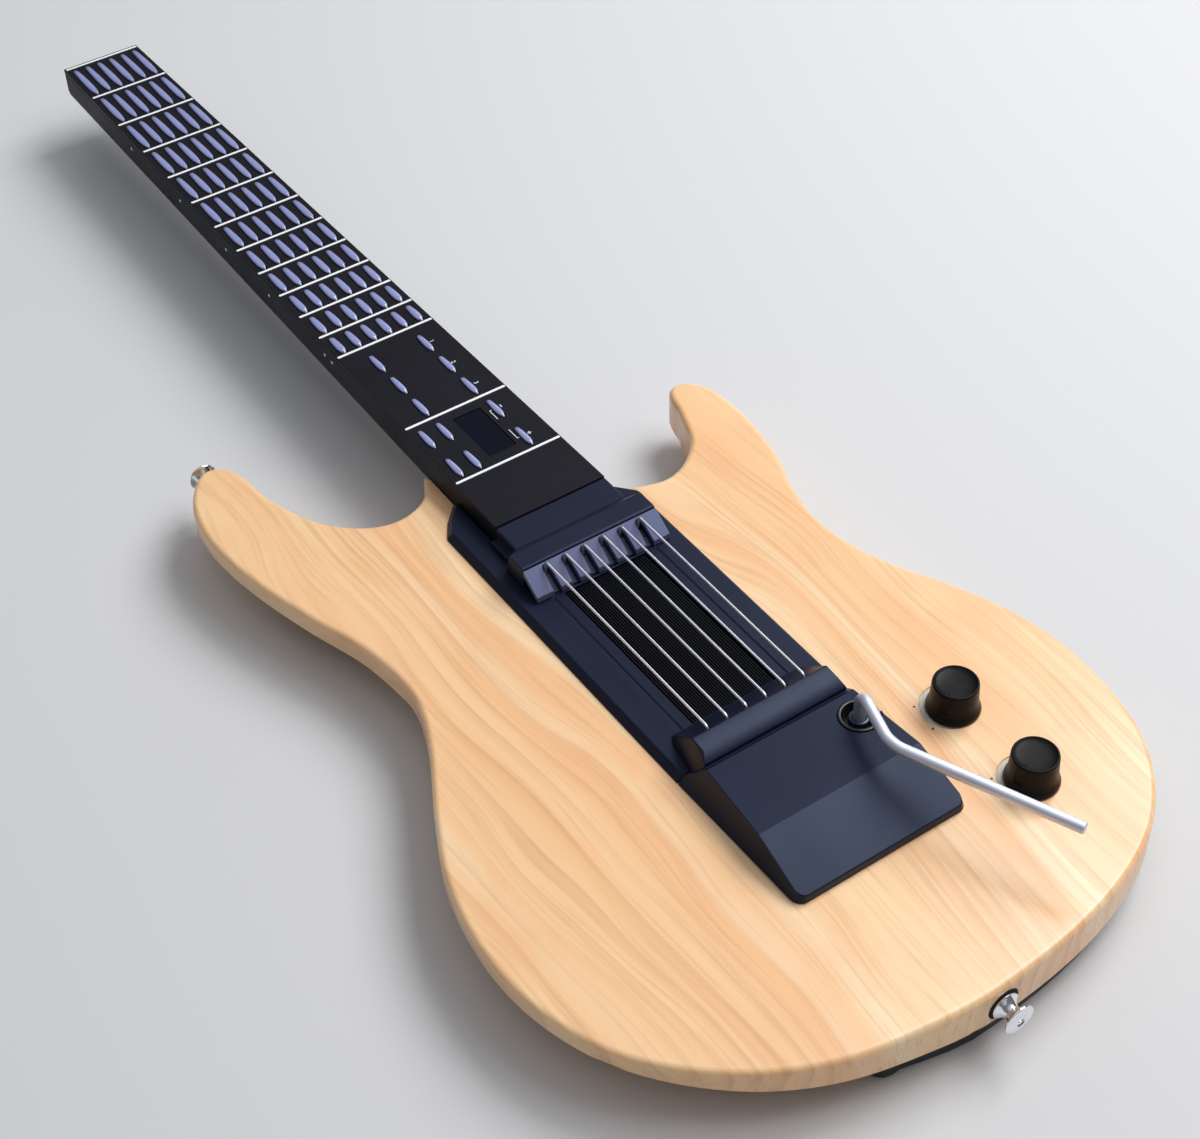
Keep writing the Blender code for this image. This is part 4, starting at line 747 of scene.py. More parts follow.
def matching(verts, points):
    """The verts in the order of the points that they stand over."""
    places = {(round(vert.co.x, 2), round(vert.co.y, 2)): vert for vert in verts}
    return [places[(round(point.x, 2), round(point.y, 2))] for point in points]


def neck_half(y):
    return NECK_HALF_AT_NUT + NECK_TAPER * (SCALE_LENGTH - y)


def neck_plan(low, high, grow=0.0):
    a, b = neck_half(low) + grow, neck_half(high) + grow
    return [(-a, low), (a, low), (b, high), (-b, high)]


def strap_place(end):
    """Matrix that stands a turned piece on the wood's side at a strap button."""
    low, high, middle = box_of(f"strap_washer_{end}")
    way = -1 if end == "end" else 1
    base = high.y if way < 0 else low.y
    turn = Matrix.Rotation(-way * math.pi / 2, 4, "X")
    return at((middle.x, base, middle.z)) @ turn


CAVITY = ((-57.5, -78), (-40, -96), (0, -106), (84, -94), (110.2, -58), (110.2, 44), (90, 66),
          (84, 103), (-57.5, 103))
CAVITY_ROOF = 28.7
POCKET_FLOOR = 26.4
RING_PROFILE = ((0, 33.2), (13.0, 33.2), (13.2, 33.4), (13.2, 33.8), (13.7, 34.3), (13.7, 35), (0, 35))
RING_OFFSET = Vector((-0.2, 1.6, 0))
SPINDLE_HOLE = 4.8
SEAT_PROFILE = ((0, -15), (2.3, -15), (2.3, -0.3), (7.7, -0.3), (7.7, 8), (0, 8))
ENDS = ("upper", "lower")
knob_centres = [box_of(f"{end}_knob")[2] * Vector((1, 1, 0)) for end in ENDS]
room = plate(CAVITY, 9, CAVITY_ROOF)
socket_recess = block((109.6, -30.4, 9), (160, 38.4, 28))
neck_pocket = plate(neck_plan(176, 258, 0.3), POCKET_FLOOR, 36)
tongue_pocket = block((-28.3, 110, POCKET_FLOOR), (28.3, 177, 36))
cutters = [room, socket_recess, neck_pocket, tongue_pocket]
for centre in knob_centres:
    cutters.append(turned(RING_PROFILE, 64, at(centre + RING_OFFSET)))
    cutters.append(drum(SPINDLE_HOLE, 27, WOOD_TOP, 40, at(centre)))
for end in ("end", "horn"):
    cutters.append(turned(SEAT_PROFILE, 48, strap_place(end)))
body = carve(body_blank(), *cutters)
new_piece("wood_body_smooth", body, wood, "wood_body")

# %% [markdown]
# A key is a barrel lying in its slot, blunt towards the nut and drawn out towards the body, where a
# short slope catches the light. Half a turn of its silhouette gives the dome, and its rim is pulled
# down through the panel. A strip underneath joins the six keys of a fret, so they move as one.

# %% Keys
KEY_SILHOUETTE = ((0.0, 0.0), (0.007, 0.3), (0.025, 0.54), (0.06, 0.7), (0.12, 0.79), (0.25, 0.87),
                  (0.45, 0.96), (0.62, 1.0), (0.75, 0.96), (0.86, 0.8), (0.94, 0.54), (0.985, 0.26),
                  (1.0, 0.0))
FRET_KEY_WIDTH = 4.5
CONTROL_LENGTH, CONTROL_WIDTH = 15.0, 3.8
KEY_SLOPE = 2.5
KEY_CREST = 49.6
KEY_SHOULDER = PANEL_TOP + 0.05
STRIP_TOP = 46.1


def silhouette_at(along):
    """Half width of a key, as a share of its widest place, at a share of its length."""
    for (near, first), (far, second) in zip(KEY_SILHOUETTE, KEY_SILHOUETTE[1:]):
        if along <= far:
            return first + (second - first) * (along - near) / (far - near)
    return 0.0


def key_bar(x, y, length, width, low):
    shape = bmesh.new()
    extra = [1 - KEY_SLOPE * share / length for share in (1.25, 1.0, 0.75, 0.5, 0.25)]
    stations = sorted({*(along for along, share in KEY_SILHOUETTE), *extra})
    line = [shape.verts.new((silhouette_at(along) * width / 2, (0.5 - along) * length, 0))
            for along in stations]
    edges = [shape.edges.new(pair) for pair in zip(line, line[1:])]
    bmesh.ops.spin(shape, geom=[*line, *edges], cent=(0, 0, 0), axis=(0, 1, 0), dvec=(0, 0, 0),
                   angle=-math.pi, steps=10, use_merge=False, use_duplicate=False)
    merge(shape)
    for vert in shape.verts:
        along = 0.5 - vert.co.y / length
        radius = max(0.001, silhouette_at(along) * width / 2)
        fall = min(1.0, (1 - along) * length / KEY_SLOPE)
        nut_end = min(1.0, silhouette_at(along) + 0.1) if along < 0.5 else 1.0
        rise = (KEY_CREST - KEY_SHOULDER) * fall * nut_end
        rise *= 0.75 + 0.25 * min(1.0, along * 2.2)
        vert.co.z = KEY_SHOULDER + rise * min(1.0, vert.co.z / radius)
    rim = [edge for edge in shape.edges if edge.is_boundary]
    pulled = verts_in(bmesh.ops.extrude_edge_only(shape, edges=rim)["geom"])
    for vert in pulled:
        vert.co.z = low
    bmesh.ops.holes_fill(shape, edges=[edge for edge in shape.edges if edge.is_boundary], sides=0)
    return shifted(shape, x, y)


def key_plan(x, y, length, width, grow):
    half = [(share * width / 2 + grow * min(1.0, 3 * share), (0.5 - along) * (length + 2 * grow))
            for along, share in KEY_SILHOUETTE]
    ring = half + [(-a, b) for a, b in reversed(half[1:-1])]
    return [(x + a, y + b) for a, b in ring]


def row_keys(name):
    """Place, length and width of each key in a fret's row, from the strip that carries them."""
    low, high, middle = box_of(name)
    pitch = (high.x - 2.85) / 2.5
    return [((k - 2.5) * pitch, middle.y, high.y - low.y - 1.6, FRET_KEY_WIDTH) for k in range(6)]


rows = {name: row_keys(name) for name in sorted(nodes) if name.startswith("fret_key_row")}
for name, keys in rows.items():
    low, high, _ = box_of(name)
    bars = [key_bar(*key, STRIP_TOP - 0.6) for key in keys]
    strip = soften(block(low, (high.x, high.y, STRIP_TOP)), 0.3, 1, sharp(60))
    new_piece(f"keys_of_{name[-6:]}", gather(strip, *bars), key_blue, name, 50)

controls = {}
for name in sorted(name for name in nodes if "_key_" in name and name not in rows):
    middle = box_of(name)[2]
    controls[name] = (middle.x, middle.y, CONTROL_LENGTH, CONTROL_WIDTH)
    flange = plate(key_plan(*controls[name], 1.1), STRIP_TOP - 1.3, STRIP_TOP)
    bar = key_bar(*controls[name], STRIP_TOP - 0.6)
    new_piece(f"{name}_cap", gather(flange, bar), key_blue, name, 50)

# %% [markdown]
# The front panel has a slot for each of the 84 keys and an opening for the display. All of them are
# one cutter, so one Boolean makes them. Its outer edges are eased to catch the light.

# %% Front panel and display window
SLOT_GAP = 0.28
window_low, window_high, _ = box_of("display_window")


def window_plan(grow):
    a, b = window_low.xy - Vector((grow, grow)), window_high.xy + Vector((grow, grow))
    return [(a.x, a.y), (b.x, a.y), (b.x, b.y), (a.x, b.y)]


all_keys = [*(key for keys in rows.values() for key in keys), *controls.values()]
slots = [plate(key_plan(*key, SLOT_GAP), 46, 50) for key in all_keys]
slots.append(soften(plate(window_plan(0.25), 46, 50), 1.0, 4, upright))
panel = plate(neck_plan(176.3, 650), PANEL_TOP - 2, PANEL_TOP)
soften(panel, 0.35, 3, at_height(PANEL_TOP))
new_piece("front_panel", carve(panel, gather(*slots)), panel_black, "fret_panel")

pane = soften(plate(window_plan(0.0), 46.7, PANEL_TOP - 0.35), 0.9, 4, upright)
soften(pane, 0.25, 2, at_height(PANEL_TOP - 0.35))
new_piece("display_pane", pane, window_glass, "display_window")

# %% [markdown]
# The frets are only lines here: thin white bars with round ends, a little proud of the panel. Each
# is a twelfth root of two closer than the last. Two more divide the control keys.

# %% Fret lines
LINE_WIDTH = 1.4
LINE_RISE = 0.3
CONTROL_LINES = (258.0, 211.4)


def fret_place(number):
    return SCALE_LENGTH * 2 ** (-number / 12)


def line_bar(y):
    half = neck_half(y) - 0.6
    far, near = y + LINE_WIDTH / 2, y - LINE_WIDTH / 2
    bar = plate([(-half, near), (half, near), (half, far), (-half, far)], PANEL_TOP - 0.2,
                PANEL_TOP + LINE_RISE)
    soften(bar, 0.6, 3, upright)
    return soften(bar, 0.2, 2, at_height(PANEL_TOP + LINE_RISE))


line_places = [*map(fret_place, range(13)), *CONTROL_LINES]
new_piece("fret_lines", gather(*(line_bar(y) for y in line_places)), white_print)

# %% [markdown]
# The marks are generic: 1, 2 and 3 beside the right-hand keys, minus and plus beside the two value
# keys, and the bracket that ties those together. Text starts as a font curve, becomes a mesh and is
# then turned to read along the neck. The dots on the neck's side show the player the 3rd, 5th, 7th,
# 9th and 12th frets.

# %% Printed marks and side dots
PRINT_LOW, PRINT_HIGH = PANEL_TOP - 0.1, PANEL_TOP + 0.05


def text_shape(words, x, y):
    data = bpy.data.curves.new("mark", "FONT")
    data.body = words
    data.size = 3.4
    data.extrude = 0.05
    data.align_x = data.align_y = "CENTER"
    curve = show(bpy.data.objects.new("mark", data))
    shape = as_evaluated(curve)
    bpy.data.objects.remove(curve)
    bpy.data.curves.remove(data)
    return shifted(placed(shape, Matrix.Rotation(-math.pi / 2, 4, "Z")), x, y, PANEL_TOP)


def hook(foot, tip):
    """One end of the bracket: a long stroke with a short one across its tip."""
    inner = tip + math.copysign(0.35, foot - tip)
    return plate([(11.75, foot), (12.1, foot), (12.1, inner), (12.9, inner), (12.9, tip), (11.75, tip)],
                 PRINT_LOW, PRINT_HIGH)


marks = [text_shape("1", 17.5, 308.5), text_shape("2", 17.5, 288.2), text_shape("3", 18.1, 268.2)]
for low, high in (((18.1, 245.5), (18.6, 247.5)), ((18.4, 221.0), (18.9, 223.0)),
                  ((17.65, 221.75), (19.65, 222.25))):
    marks.append(block((*low, PRINT_LOW), (*high, PRINT_HIGH)))
marks += [hook(239.0, 246.35), hook(229.5, 221.8)]
new_piece("printed_marks", gather(*marks), white_print)

DOT_HEIGHT = 42.1
DOUBLE_DOTS = (330.0, 337.4)


def side_dot(y):
    turn = Matrix.Rotation(-math.pi / 2, 4, "Y")
    place = at((-neck_half(y), y, DOT_HEIGHT)) @ turn
    return turned([(0, -0.4), (0.9, -0.4), (0.9, 0.0), (0.6, 0.12), (0, 0.15)], 20, place)


dots = [side_dot((fret_place(number - 1) + fret_place(number)) / 2) for number in (3, 5, 7, 9)]
dots += map(side_dot, DOUBLE_DOTS)
new_piece("side_dots", gather(*dots), white_print)

# %% [markdown]
# The neck housing, the string deck and its blocks keep the CAD's shapes. A moulding has no knife
# edges, so each copy gets its edges eased, and the highlights along them make it look moulded. The
# end of the tail stands steeper than in the CAD, and its two corners are tighter.

# %% Eased mouldings
TAIL_CREASE, TAIL_END = -33.4, -62.0
TAIL_FALL = 0.377
EDGE_BACK, FOOT_BACK = 2.2, 0.7
CORNER_CENTRE = Vector((34.2, -52.2))
CORNER_RADIUS, TIGHT_RADIUS = 8.0, 3.5
FOOT_REACH = 2.0


def tighten_a_corner(vert):
    out = Vector((abs(vert.co.x), vert.co.y)) - CORNER_CENTRE
    shift = CORNER_RADIUS - TIGHT_RADIUS
    reach = min(out.length, CORNER_RADIUS + FOOT_REACH) - shift
    place = CORNER_CENTRE + Vector((shift, -shift)) + out.normalized() * reach
    if vert.co.z > DECK_TOP + 0.1:
        vert.co.z += TAIL_FALL * (place.y - vert.co.y)
    vert.co.xy = (math.copysign(place.x, vert.co.x), place.y)


def shape_the_end(shape):
    for vert in shape.verts:
        if vert.co.y < CORNER_CENTRE.y + 1.2 and abs(vert.co.x) > CORNER_CENTRE.x - 0.3:
            tighten_a_corner(vert)
        share = max(0.0, (vert.co.y - TAIL_CREASE) / (TAIL_END - TAIL_CREASE))
        vert.co.y -= (EDGE_BACK if vert.co.z > WOOD_TOP + 1 else FOOT_BACK) * share


new_piece("neck_shell", eased("neck_housing", 0.4), neck_black, "neck_housing")
new_piece("deck_moulding", eased("string_deck", 0.4), deck_black, "string_deck")
new_piece("bridge_moulding", eased("bridge_block", 0.7, 3, 15), deck_black,
          "bridge_block", smooth=20)
new_piece("tail_moulding", eased("tail_block", 0.5, 3, 40, shape_the_end), deck_black,
          "tail_block", smooth=20)

# %% [markdown]
# The comb slopes down to the bed. It is one section pulled along the bridge and then slotted: every
# slot starts in a round hole, where the string dives, and opens a little towards the bed.

# %% Comb and ribbed bed
COMB_SECTION = ((144.0, 49.2), (132.8, 41.6), (132.8, 38.6), (132.95, 38.6), (144.0, 46.1))
HOLE_Y, MOUTH_Y = 141.6, 130.8
SLOT_HALF, MOUTH_HALF = 1.8, 2.25
comb_low, comb_high, _ = box_of("string_comb")
string_places = [box_of(f"string_{number}")[2].x for number in range(1, 7)]


def slot_cutter(x):
    turns = [math.pi * k / 14 for k in range(15)]
    arc = [(x + SLOT_HALF * math.cos(turn), HOLE_Y + SLOT_HALF * math.sin(turn)) for turn in turns]
    return plate([*arc, (x - MOUTH_HALF, MOUTH_Y), (x + MOUTH_HALF, MOUTH_Y)], 37, 52)


def along_x(section, low, high):
    """A section of (y, z) points pulled along X."""
    turn = Matrix(((0, 0, 1, 0), (1, 0, 0, 0), (0, 1, 0, 0), (0, 0, 0, 1)))
    return placed(plate(section, low, high), turn)


comb = along_x(COMB_SECTION, comb_low.x, comb_high.x)
comb = soften(carve(comb, gather(*map(slot_cutter, string_places))), 0.25, 2, sharp(50))
new_piece("comb_moulding", comb, comb_grey, "string_comb")

bed_low, bed_high, _ = box_of("rib_bed")
RIB_PITCH = 1.25
rib_count = int((bed_high.x - bed_low.x - 1) / RIB_PITCH)
ribs = []
for k in range(rib_count):
    x = (k - (rib_count - 1) / 2) * RIB_PITCH
    rib = block((x - 0.34, bed_low.y, bed_low.z + 0.8), (x + 0.34, bed_high.y, bed_high.z))
    ribs.append(soften(rib, 0.2, 2, at_height(bed_high.z)))
base = block(bed_low, (bed_high.x, bed_high.y, bed_low.z + 1.1))
new_piece("bed_moulding", gather(base, *ribs), bed_black, "rib_bed")

# %% [markdown]
# The trigger strings are short lengths of round steel. Each comes up through the comb, runs level
# over the bed, and dives through its hole in the ridge, so its path is four corners, two of them bent.

# %% Strings
STRING_RADIUS = 0.6
for number in range(1, 7):
    low, high, middle = box_of(f"string_{number}")
    top = high.z - STRING_RADIUS
    near, far = low.y + STRING_RADIUS, high.y - STRING_RADIUS
    corners = [(middle.x, y, z) for y, z in ((far, low.z), (far, top), (near, top), (near, low.z))]
    string = rod(bent(corners, (2.4, 2.4), 8), STRING_RADIUS, 14)
    new_piece(f"trigger_string_{number}", string, string_steel, f"string_{number}")

# %% [markdown]
# The arm is one bent rod of satin chrome that stands in a sprung rocker. The rocker's sleeve and its
# two pegs are turned; the cup round it is pressed into the tail block.

# %% Arm, rocker and cup
ARM_RADIUS = 2.6
ARM_ELBOW, ARM_END = (22.2, -35.9), (55.4, -112.9)
PEG_HEIGHT = 43.4
cup_low, cup_high, cup_middle = box_of("arm_socket")
rocker_low, rocker_high, _ = box_of("arm_rocker")
arm_low, arm_high, _ = box_of("tremolo_arm")
pivot = Vector((cup_middle.x, cup_middle.y, 0))
arm_top = arm_high.z - ARM_RADIUS
arm_corners = [(pivot.x, pivot.y, arm_low.z), (pivot.x, pivot.y, arm_top), (*ARM_ELBOW, arm_top),
               (*ARM_END, arm_top)]
arm = rod(bent(arm_corners, (7.0, 16.0), 14), ARM_RADIUS, 32, tip=0.7)
new_piece("bent_arm", arm, arm_chrome, "tremolo_arm", 50)

here = at(pivot)
outer = (cup_high.x - cup_low.x) / 2
cup = [(0, cup_low.z), (outer, cup_low.z), (outer, cup_high.z - 0.5), (outer - 0.15, cup_high.z - 0.15),
       (outer - 0.5, cup_high.z), (outer - 1.0, cup_high.z), (outer - 1.35, cup_high.z - 0.15),
       (outer - 1.5, cup_high.z - 0.5), (outer - 1.5, cup_low.z + 1.5), (0, cup_low.z + 1.5)]
across = at((pivot.x, pivot.y, PEG_HEIGHT)) @ Matrix.Rotation(math.pi / 2, 4, "Y")
cup_shape = carve(turned(cup, 72, here), drum(1.3, -8.7, 8.7, 24, across))
new_piece("arm_cup", cup_shape, socket_black, "arm_socket")
sleeve_top = rocker_high.z
sleeve = [(0, rocker_low.z), (4.1, rocker_low.z), (4.4, rocker_low.z + 0.3), (4.4, sleeve_top - 0.5),
          (4.25, sleeve_top - 0.15), (3.9, sleeve_top), (3.3, sleeve_top), (2.95, sleeve_top - 0.3),
          (2.9, rocker_low.z + 0.8), (0, rocker_low.z + 0.8)]
pegs = [drum(1.0, 3.4 * way, 8.4 * way, 24, across) for way in (-1, 1)]
new_piece("rocker_sleeve", gather(turned(sleeve, 48, here), *pegs), sleeve_blue, "arm_rocker")

# %% [markdown]
# Each knob is turned: a bell skirt, a nearly straight wall, a thin rim and a dished top. A flat with
# a sloping ledge is its pointer, and a small sunk dot lies above it. The dish keeps its turning
# marks: rings that the material draws from a place attribute stored at each point. A pale washer
# lies in the ring that was cut in the wood; its pale colour paints the bright crescent of a highlight
# beside each knob.

# %% Knobs
KNOB_PROFILE = (
    (0, 0.6), (11.2, 0.0), (11.8, 0.15), (11.8, 1.1), (11.62, 1.9), (11.3, 2.8), (10.95, 3.8),
    (10.68, 5.0), (10.5, 6.5), (10.38, 8.5), (10.2, 12.0), (10.05, 14.5), (9.95, 15.0), (9.7, 15.3),
    (9.35, 15.4), (9.05, 15.3), (8.85, 15.05), (8.3, 14.7), (7.0, 14.42), (5.0, 14.25), (2.5, 14.2),
    (0, 14.2),
)
KNOB_HEIGHT = 15.4
POINTER_TURNS = (205, 192)


def make_knob_black():
    made, tree, shader = new_material("knob_black", {"Specular IOR Level": 0.13})
    place = add_node(tree, "Attribute", attribute_name="from_axis").outputs["Vector"]
    parts = add_node(tree, "SeparateXYZ", {0: place}).outputs
    reach = add_node(tree, "CombineXYZ", {0: parts["X"], 1: parts["Y"]}).outputs[0]
    rings = add_node(tree, "TexWave", {"Vector": reach, "Scale": 900.0, "Distortion": 0.4},
                     wave_type="RINGS", rings_direction="Z").outputs["Fac"]
    marks = reckon(tree, "MULTIPLY", rings, spread(tree, parts["Z"], 0.0138, 0.0141))
    skin = moulded_skin(tree, (0.004, 0.004, 0.005), 0.36)
    colour = with_worn_edges(tree, skin, (0.09, 0.09, 0.095), 0.7)
    feed(shader, {"Base Color": colour, "Roughness": skin["Roughness"]})
    add_bump(shader, reckon(tree, "ADD", marks, skin["Height"]), 0.02)
    return made


def add_knob(name, node, centre, pointer, finish):
    node_low, node_high, _ = box_of(node)
    low = node_high.z - KNOB_HEIGHT
    turn = Matrix.Rotation(math.radians(pointer), 4, "Z")
    flat = block((9.85, -2.5, 4.6), (13, 2.5, 14.2))
    for vert in flat.verts:
        if vert.co.x > 12 and vert.co.z < 5:
            vert.co.z -= 1.8
    dot = drum(0.45, 13.6, 15, 20, at((6.9, 0, 0)))
    dial = carve(turned(KNOB_PROFILE, 96), placed(flat, turn), placed(dot, turn))
    whole = shifted(gather(dial, drum(3.0, node_low.z - low, 0.7, 32)), centre.x, centre.y, low)
    knob = new_piece(name, whole, finish, node, 38)
    place = knob.data.attributes.new("from_axis", "FLOAT_VECTOR", "POINT")
    for vert, spot in zip(knob.data.vertices, place.data):
        spot.vector = vert.co - Vector((centre.x, centre.y, low)) * MM


knob_black = make_knob_black()
for end, centre, pointer in zip(ENDS, knob_centres, POINTER_TURNS):
    add_knob(f"{end}_dial", f"{end}_knob", centre, pointer, knob_black)
# Painted highlight: the pale washer shows as a bright crescent beside each knob.
washer = ((7, 33.15), (12.8, 33.15), (12.8, 33.5), (12.65, 33.6), (7, 33.6), (7, 33.15))
seats = [turned(washer, 64, at(centre + RING_OFFSET)) for centre in knob_centres]
new_piece("knob_seats", gather(*seats), painted_highlight_washer)

# %% [markdown]
# A dot printed on the wood marks each end of a knob's turn.

# %% Printed dots
RANGE_DOTS = ((-12.9, 9.8), (-14.6, -4.3))


def wood_dot(x, y):
    return drum(0.55, WOOD_TOP - 0.05, WOOD_TOP + 0.02, 20, at((x, y, 0)))


ends = [wood_dot(centre.x + x, centre.y + y) for centre in knob_centres for x, y in RANGE_DOTS]
new_piece("range_dots", gather(*ends), black_print)

# %% [markdown]
# The back is closed by one large cover. Its screws are sunk in round pockets, so that the guitar can
# lie on the cover without a scratch. A screw head is a small dome with two bars carved out of it.

# %% Rear cover and its screws
SCREW_SEAT = 1.75
COVER_SCREWS = ((-46, -116), (10, -123), (70, -112), (110, -80), (118, -48), (107, 56), (90, 100),
                (100, 143), (24, 180), (-46, 180), (-56, 122), (-56, -74))


def cross_head(radius, rise):
    """A domed screw head with a cross cut in it, standing on Z = 0."""
    dome = turned([(0, 0), (radius, 0), (radius, 0.35 * rise), (0.86 * radius, 0.75 * rise),
                   (0.5 * radius, rise), (0, rise)], 28)
    long, thin, deep = 0.58 * radius, 0.14 * radius, 0.4 * rise
    return carve(dome, block((-long, -thin, deep), (long, thin, rise + 1)),
                 block((-thin, -long, deep), (thin, long, rise + 1)))


def repeated(shape, places):
    """The same shape at every place, as one bmesh."""
    copies = [placed(shape.copy(), place) for place in places]
    shape.free()
    return gather(*copies)


downwards = Matrix.Rotation(math.pi, 4, "X")
screw_places = [at((x, y, SCREW_SEAT + 0.1)) @ downwards for x, y in COVER_SCREWS]
pocket = turned([(0, 0), (3.3, 0), (3.3, 1.45), (3.65, 1.85), (3.65, 4), (0, 4)], 32)
cover = carve(eased("rear_cover", 0.3), repeated(pocket, screw_places))
new_piece("cover_moulding", cover, cover_black, "rear_cover")
new_piece("cover_screws", repeated(cross_head(2.9, 1.4), screw_places), black_steel)

# %% [markdown]
# The battery lid turns on two pegs. Near its free edge a few grooves give the thumb a hold.

# %% Battery lid
lid_low, lid_high, lid_middle = box_of("battery_lid")
GROOVE_HALF, GROOVE_WIDTH, GROOVE_PITCH = 12.1, 0.5, 1.1
grooves = []
for k in range(5):
    x = lid_high.x - 7.13 + GROOVE_PITCH * k
    near, far = lid_middle.y - GROOVE_HALF, lid_middle.y + GROOVE_HALF
    grooves.append(block((x, near, -1), (x + GROOVE_WIDTH, far, lid_low.z + 0.4)))
lid = carve(eased("battery_lid", 0.2), gather(*grooves))
new_piece("lid_moulding", lid, cover_black, "battery_lid")

# %% [markdown]
# The sockets sit in a recess of the wood's side. Each is a barrel behind a round hole: two have a
# metal shell and five pin holes, the phones socket has a nut, and the supply inlet a bare pin.

# %% Sockets
panel_low, panel_high, _ = box_of("jack_panel")
FACE = panel_high.x
DIN_RADIUS, DIN_DEPTH = 7.8, 9.0
PHONES_RADIUS, PHONES_DEPTH = 3.3, 14.0
SUPPLY_RADIUS = 3.2
PIN_CIRCLE = 3.75


def facing_out(y, z):
    """Stands a turned shape on the panel's face, looking out of the side."""
    return at((FACE, y, z)) @ Matrix.Rotation(math.pi / 2, 4, "Y")


def barrel(radius, depth, seat):
    wall = radius + 1.2
    return turned([(0, -depth - 1.5), (wall, -depth - 1.5), (wall, -2.9), (radius, -2.9),
                   (radius, -depth), (0, -depth)], 40, seat)


def ring(outer, inner, low, high, seat, steps=40):
    return turned([(inner, low), (outer, low), (outer, high - 0.15), (outer - 0.15, high),
                   (inner + 0.15, high), (inner, high - 0.15), (inner, low)], steps, seat)


din_seats = [facing_out(11.0, 14.0), facing_out(-9.0, 14.0)]
phones_seat = facing_out(28.0, 14.0)
supply_seat = facing_out(-24.0, 8.6)
holes = [drum(DIN_RADIUS, -5, 2, 48, seat) for seat in din_seats]
holes.append(drum(PHONES_RADIUS, -5, 2, 32, phones_seat))
holes.append(drum(SUPPLY_RADIUS, -5, 2, 32, supply_seat))
holes.append(block((FACE - 5, -28.1, 17.6), (FACE + 2, -19.9, 22.0)))
wall = soften(block((FACE - 3, panel_low.y, panel_low.z), panel_high), 0.35, 2, sharp(60))
new_piece("socket_wall", carve(wall, gather(*holes)), socket_black, "jack_panel")

cups = [barrel(DIN_RADIUS, DIN_DEPTH, seat) for seat in din_seats]
cups.append(barrel(PHONES_RADIUS, PHONES_DEPTH, phones_seat))
cups.append(barrel(SUPPLY_RADIUS, DIN_DEPTH, supply_seat))
pin_places = [at((PIN_CIRCLE * math.cos(turn), PIN_CIRCLE * math.sin(turn), 0))
              for turn in (math.pi * k / 4 for k in range(5))]
insert = ((0, -DIN_DEPTH - 0.1), (6.9, -DIN_DEPTH - 0.1), (6.9, -7.7), (6.7, -7.5), (0, -7.5))
for seat in din_seats:
    pins = [drum(0.8, -8.6, -7, 16, pin_place) for pin_place in pin_places]
    cups.append(placed(carve(turned(insert, 48), gather(*pins)), seat))
new_piece("socket_barrels", gather(*cups), socket_black)

bright = [ring(DIN_RADIUS - 0.05, DIN_RADIUS - 0.5, -DIN_DEPTH, -0.6, seat) for seat in din_seats]
nut = turned([(0, -0.05), (6.3, -0.05), (6.3, 0.9), (5.8, 1.4), (0, 1.4)], 6, phones_seat)
bright.append(carve(nut, drum(PHONES_RADIUS + 0.1, -1, 3, 32, phones_seat)))
bright.append(ring(PHONES_RADIUS - 0.05, PHONES_RADIUS - 0.4, -PHONES_DEPTH, 0.9, phones_seat, 32))
supply_pin = [(0, -DIN_DEPTH - 0.5), (1.0, -DIN_DEPTH - 0.5), (1.0, -2.4), (0.7, -2.05), (0, -2.0)]
bright.append(turned(supply_pin, 20, supply_seat))
new_piece("socket_metal", gather(*bright), nickel)

# %% [markdown]
# The power switch is a slider with three ridges across its face and a flange behind the wall.

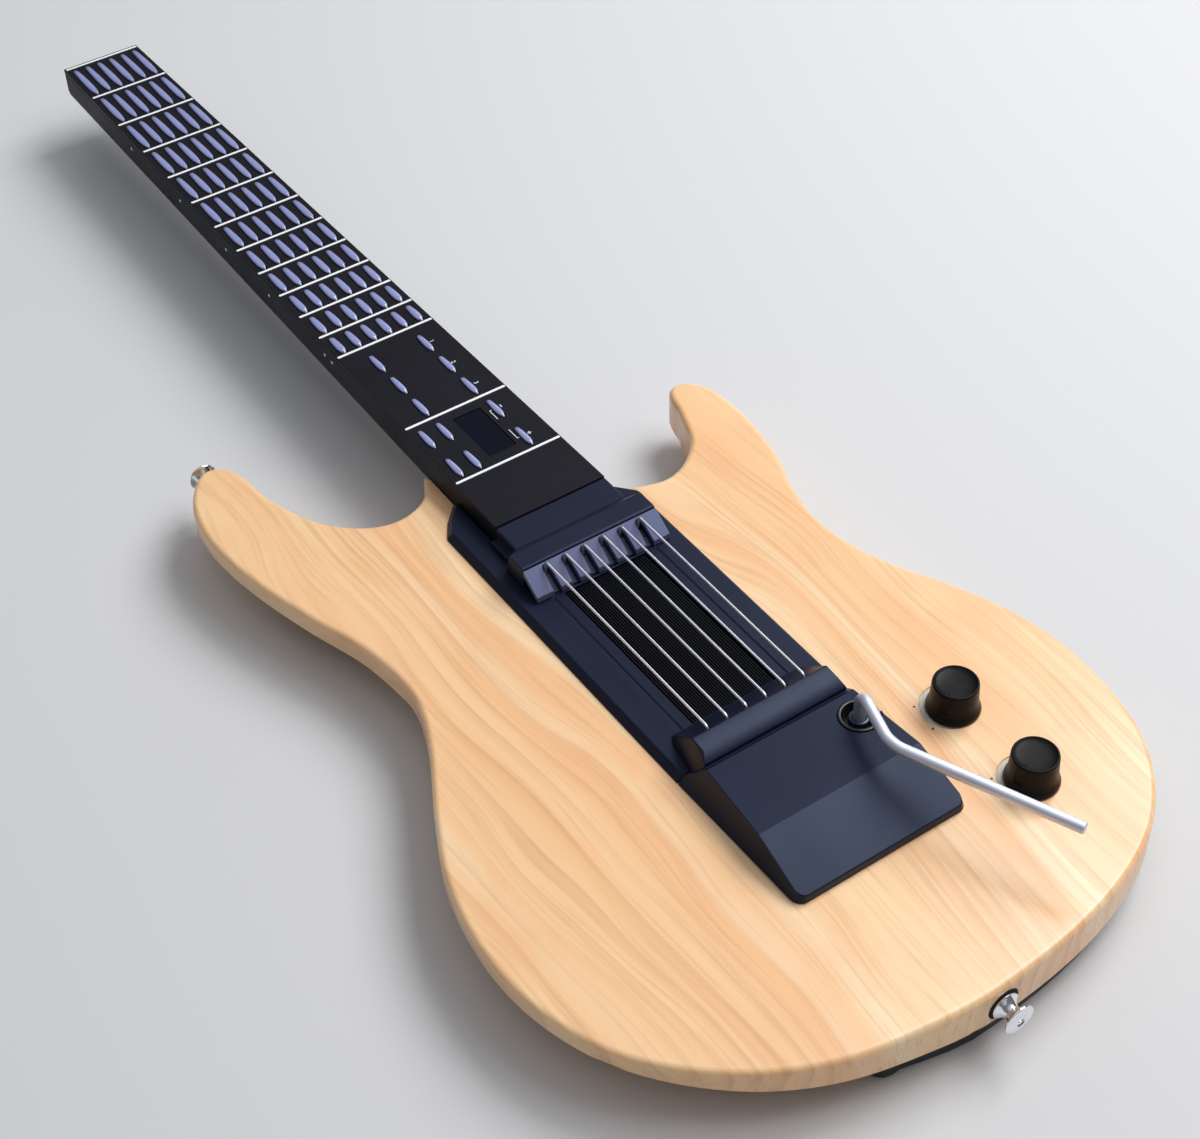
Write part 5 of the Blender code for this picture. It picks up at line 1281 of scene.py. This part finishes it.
# %% Power switch
switch_low, switch_high, _ = box_of("power_switch")
button = soften(block((FACE - 3.5, switch_low.y + 1.0, switch_low.z + 1.3),
                      (switch_high.x, switch_high.y - 1.0, switch_high.z - 1.3)), 0.3, 2, sharp(60))
notches = [block((switch_high.x - 0.6, switch_low.y + 1.75 + 1.0 * k, 0),
                 (switch_high.x + 1, switch_low.y + 2.25 + 1.0 * k, 30)) for k in range(3)]
flange = block(switch_low, (FACE - 3.3, switch_high.y, switch_high.z))
new_piece("switch_slider", gather(carve(button, gather(*notches)), flange), switch_grey,
          "power_switch")

# %% [markdown]
# A strap button is turned from bar: a foot, a narrow waist where the strap lies, and a wide flange
# that keeps it there. One screw goes through its middle. The felt washer keeps it off the lacquer.

# %% Strap buttons and washers
WASHER_TOP = 1.6
BUTTON_FOOT = WASHER_TOP + 0.3
FELT_PROFILE = ((2.2, 0.0), (7.2, 0.0), (7.4, 0.3), (7.4, WASHER_TOP - 0.3), (7.1, WASHER_TOP),
                (2.2, WASHER_TOP), (2.2, 0.0))
BUTTON_PROFILE = (
    (0, 0.0), (5.9, 0.0), (6.3, 0.25), (6.3, 0.7), (5.6, 1.2), (4.5, 2.1), (3.75, 3.1), (3.35, 4.1),
    (3.3, 4.6), (3.5, 5.2), (4.1, 6.0), (5.2, 6.9), (6.4, 7.5), (6.85, 7.75), (7.0, 8.05), (6.95, 8.4),
    (6.7, 8.65), (5.6, 8.95), (4.2, 9.15), (3.1, 9.2), (1.7, 7.9), (0, 7.9),
)
for end in ("end", "horn"):
    seat = strap_place(end)
    new_piece(f"strap_felt_{end}", turned(FELT_PROFILE, 48, seat), washer_black,
              f"strap_washer_{end}")
    spool = turned(BUTTON_PROFILE, 64, seat @ at((0, 0, BUTTON_FOOT)))
    shank = drum(1.9, -12.5, BUTTON_FOOT + 0.5, 24, seat)
    new_piece(f"strap_spool_{end}", gather(spool, shank), bright_chrome,
              f"strap_button_{end}")
    screw = placed(cross_head(2.75, 1.2), seat @ at((0, 0, BUTTON_FOOT + 7.85)))
    new_piece(f"strap_screw_{end}", screw, bright_chrome)
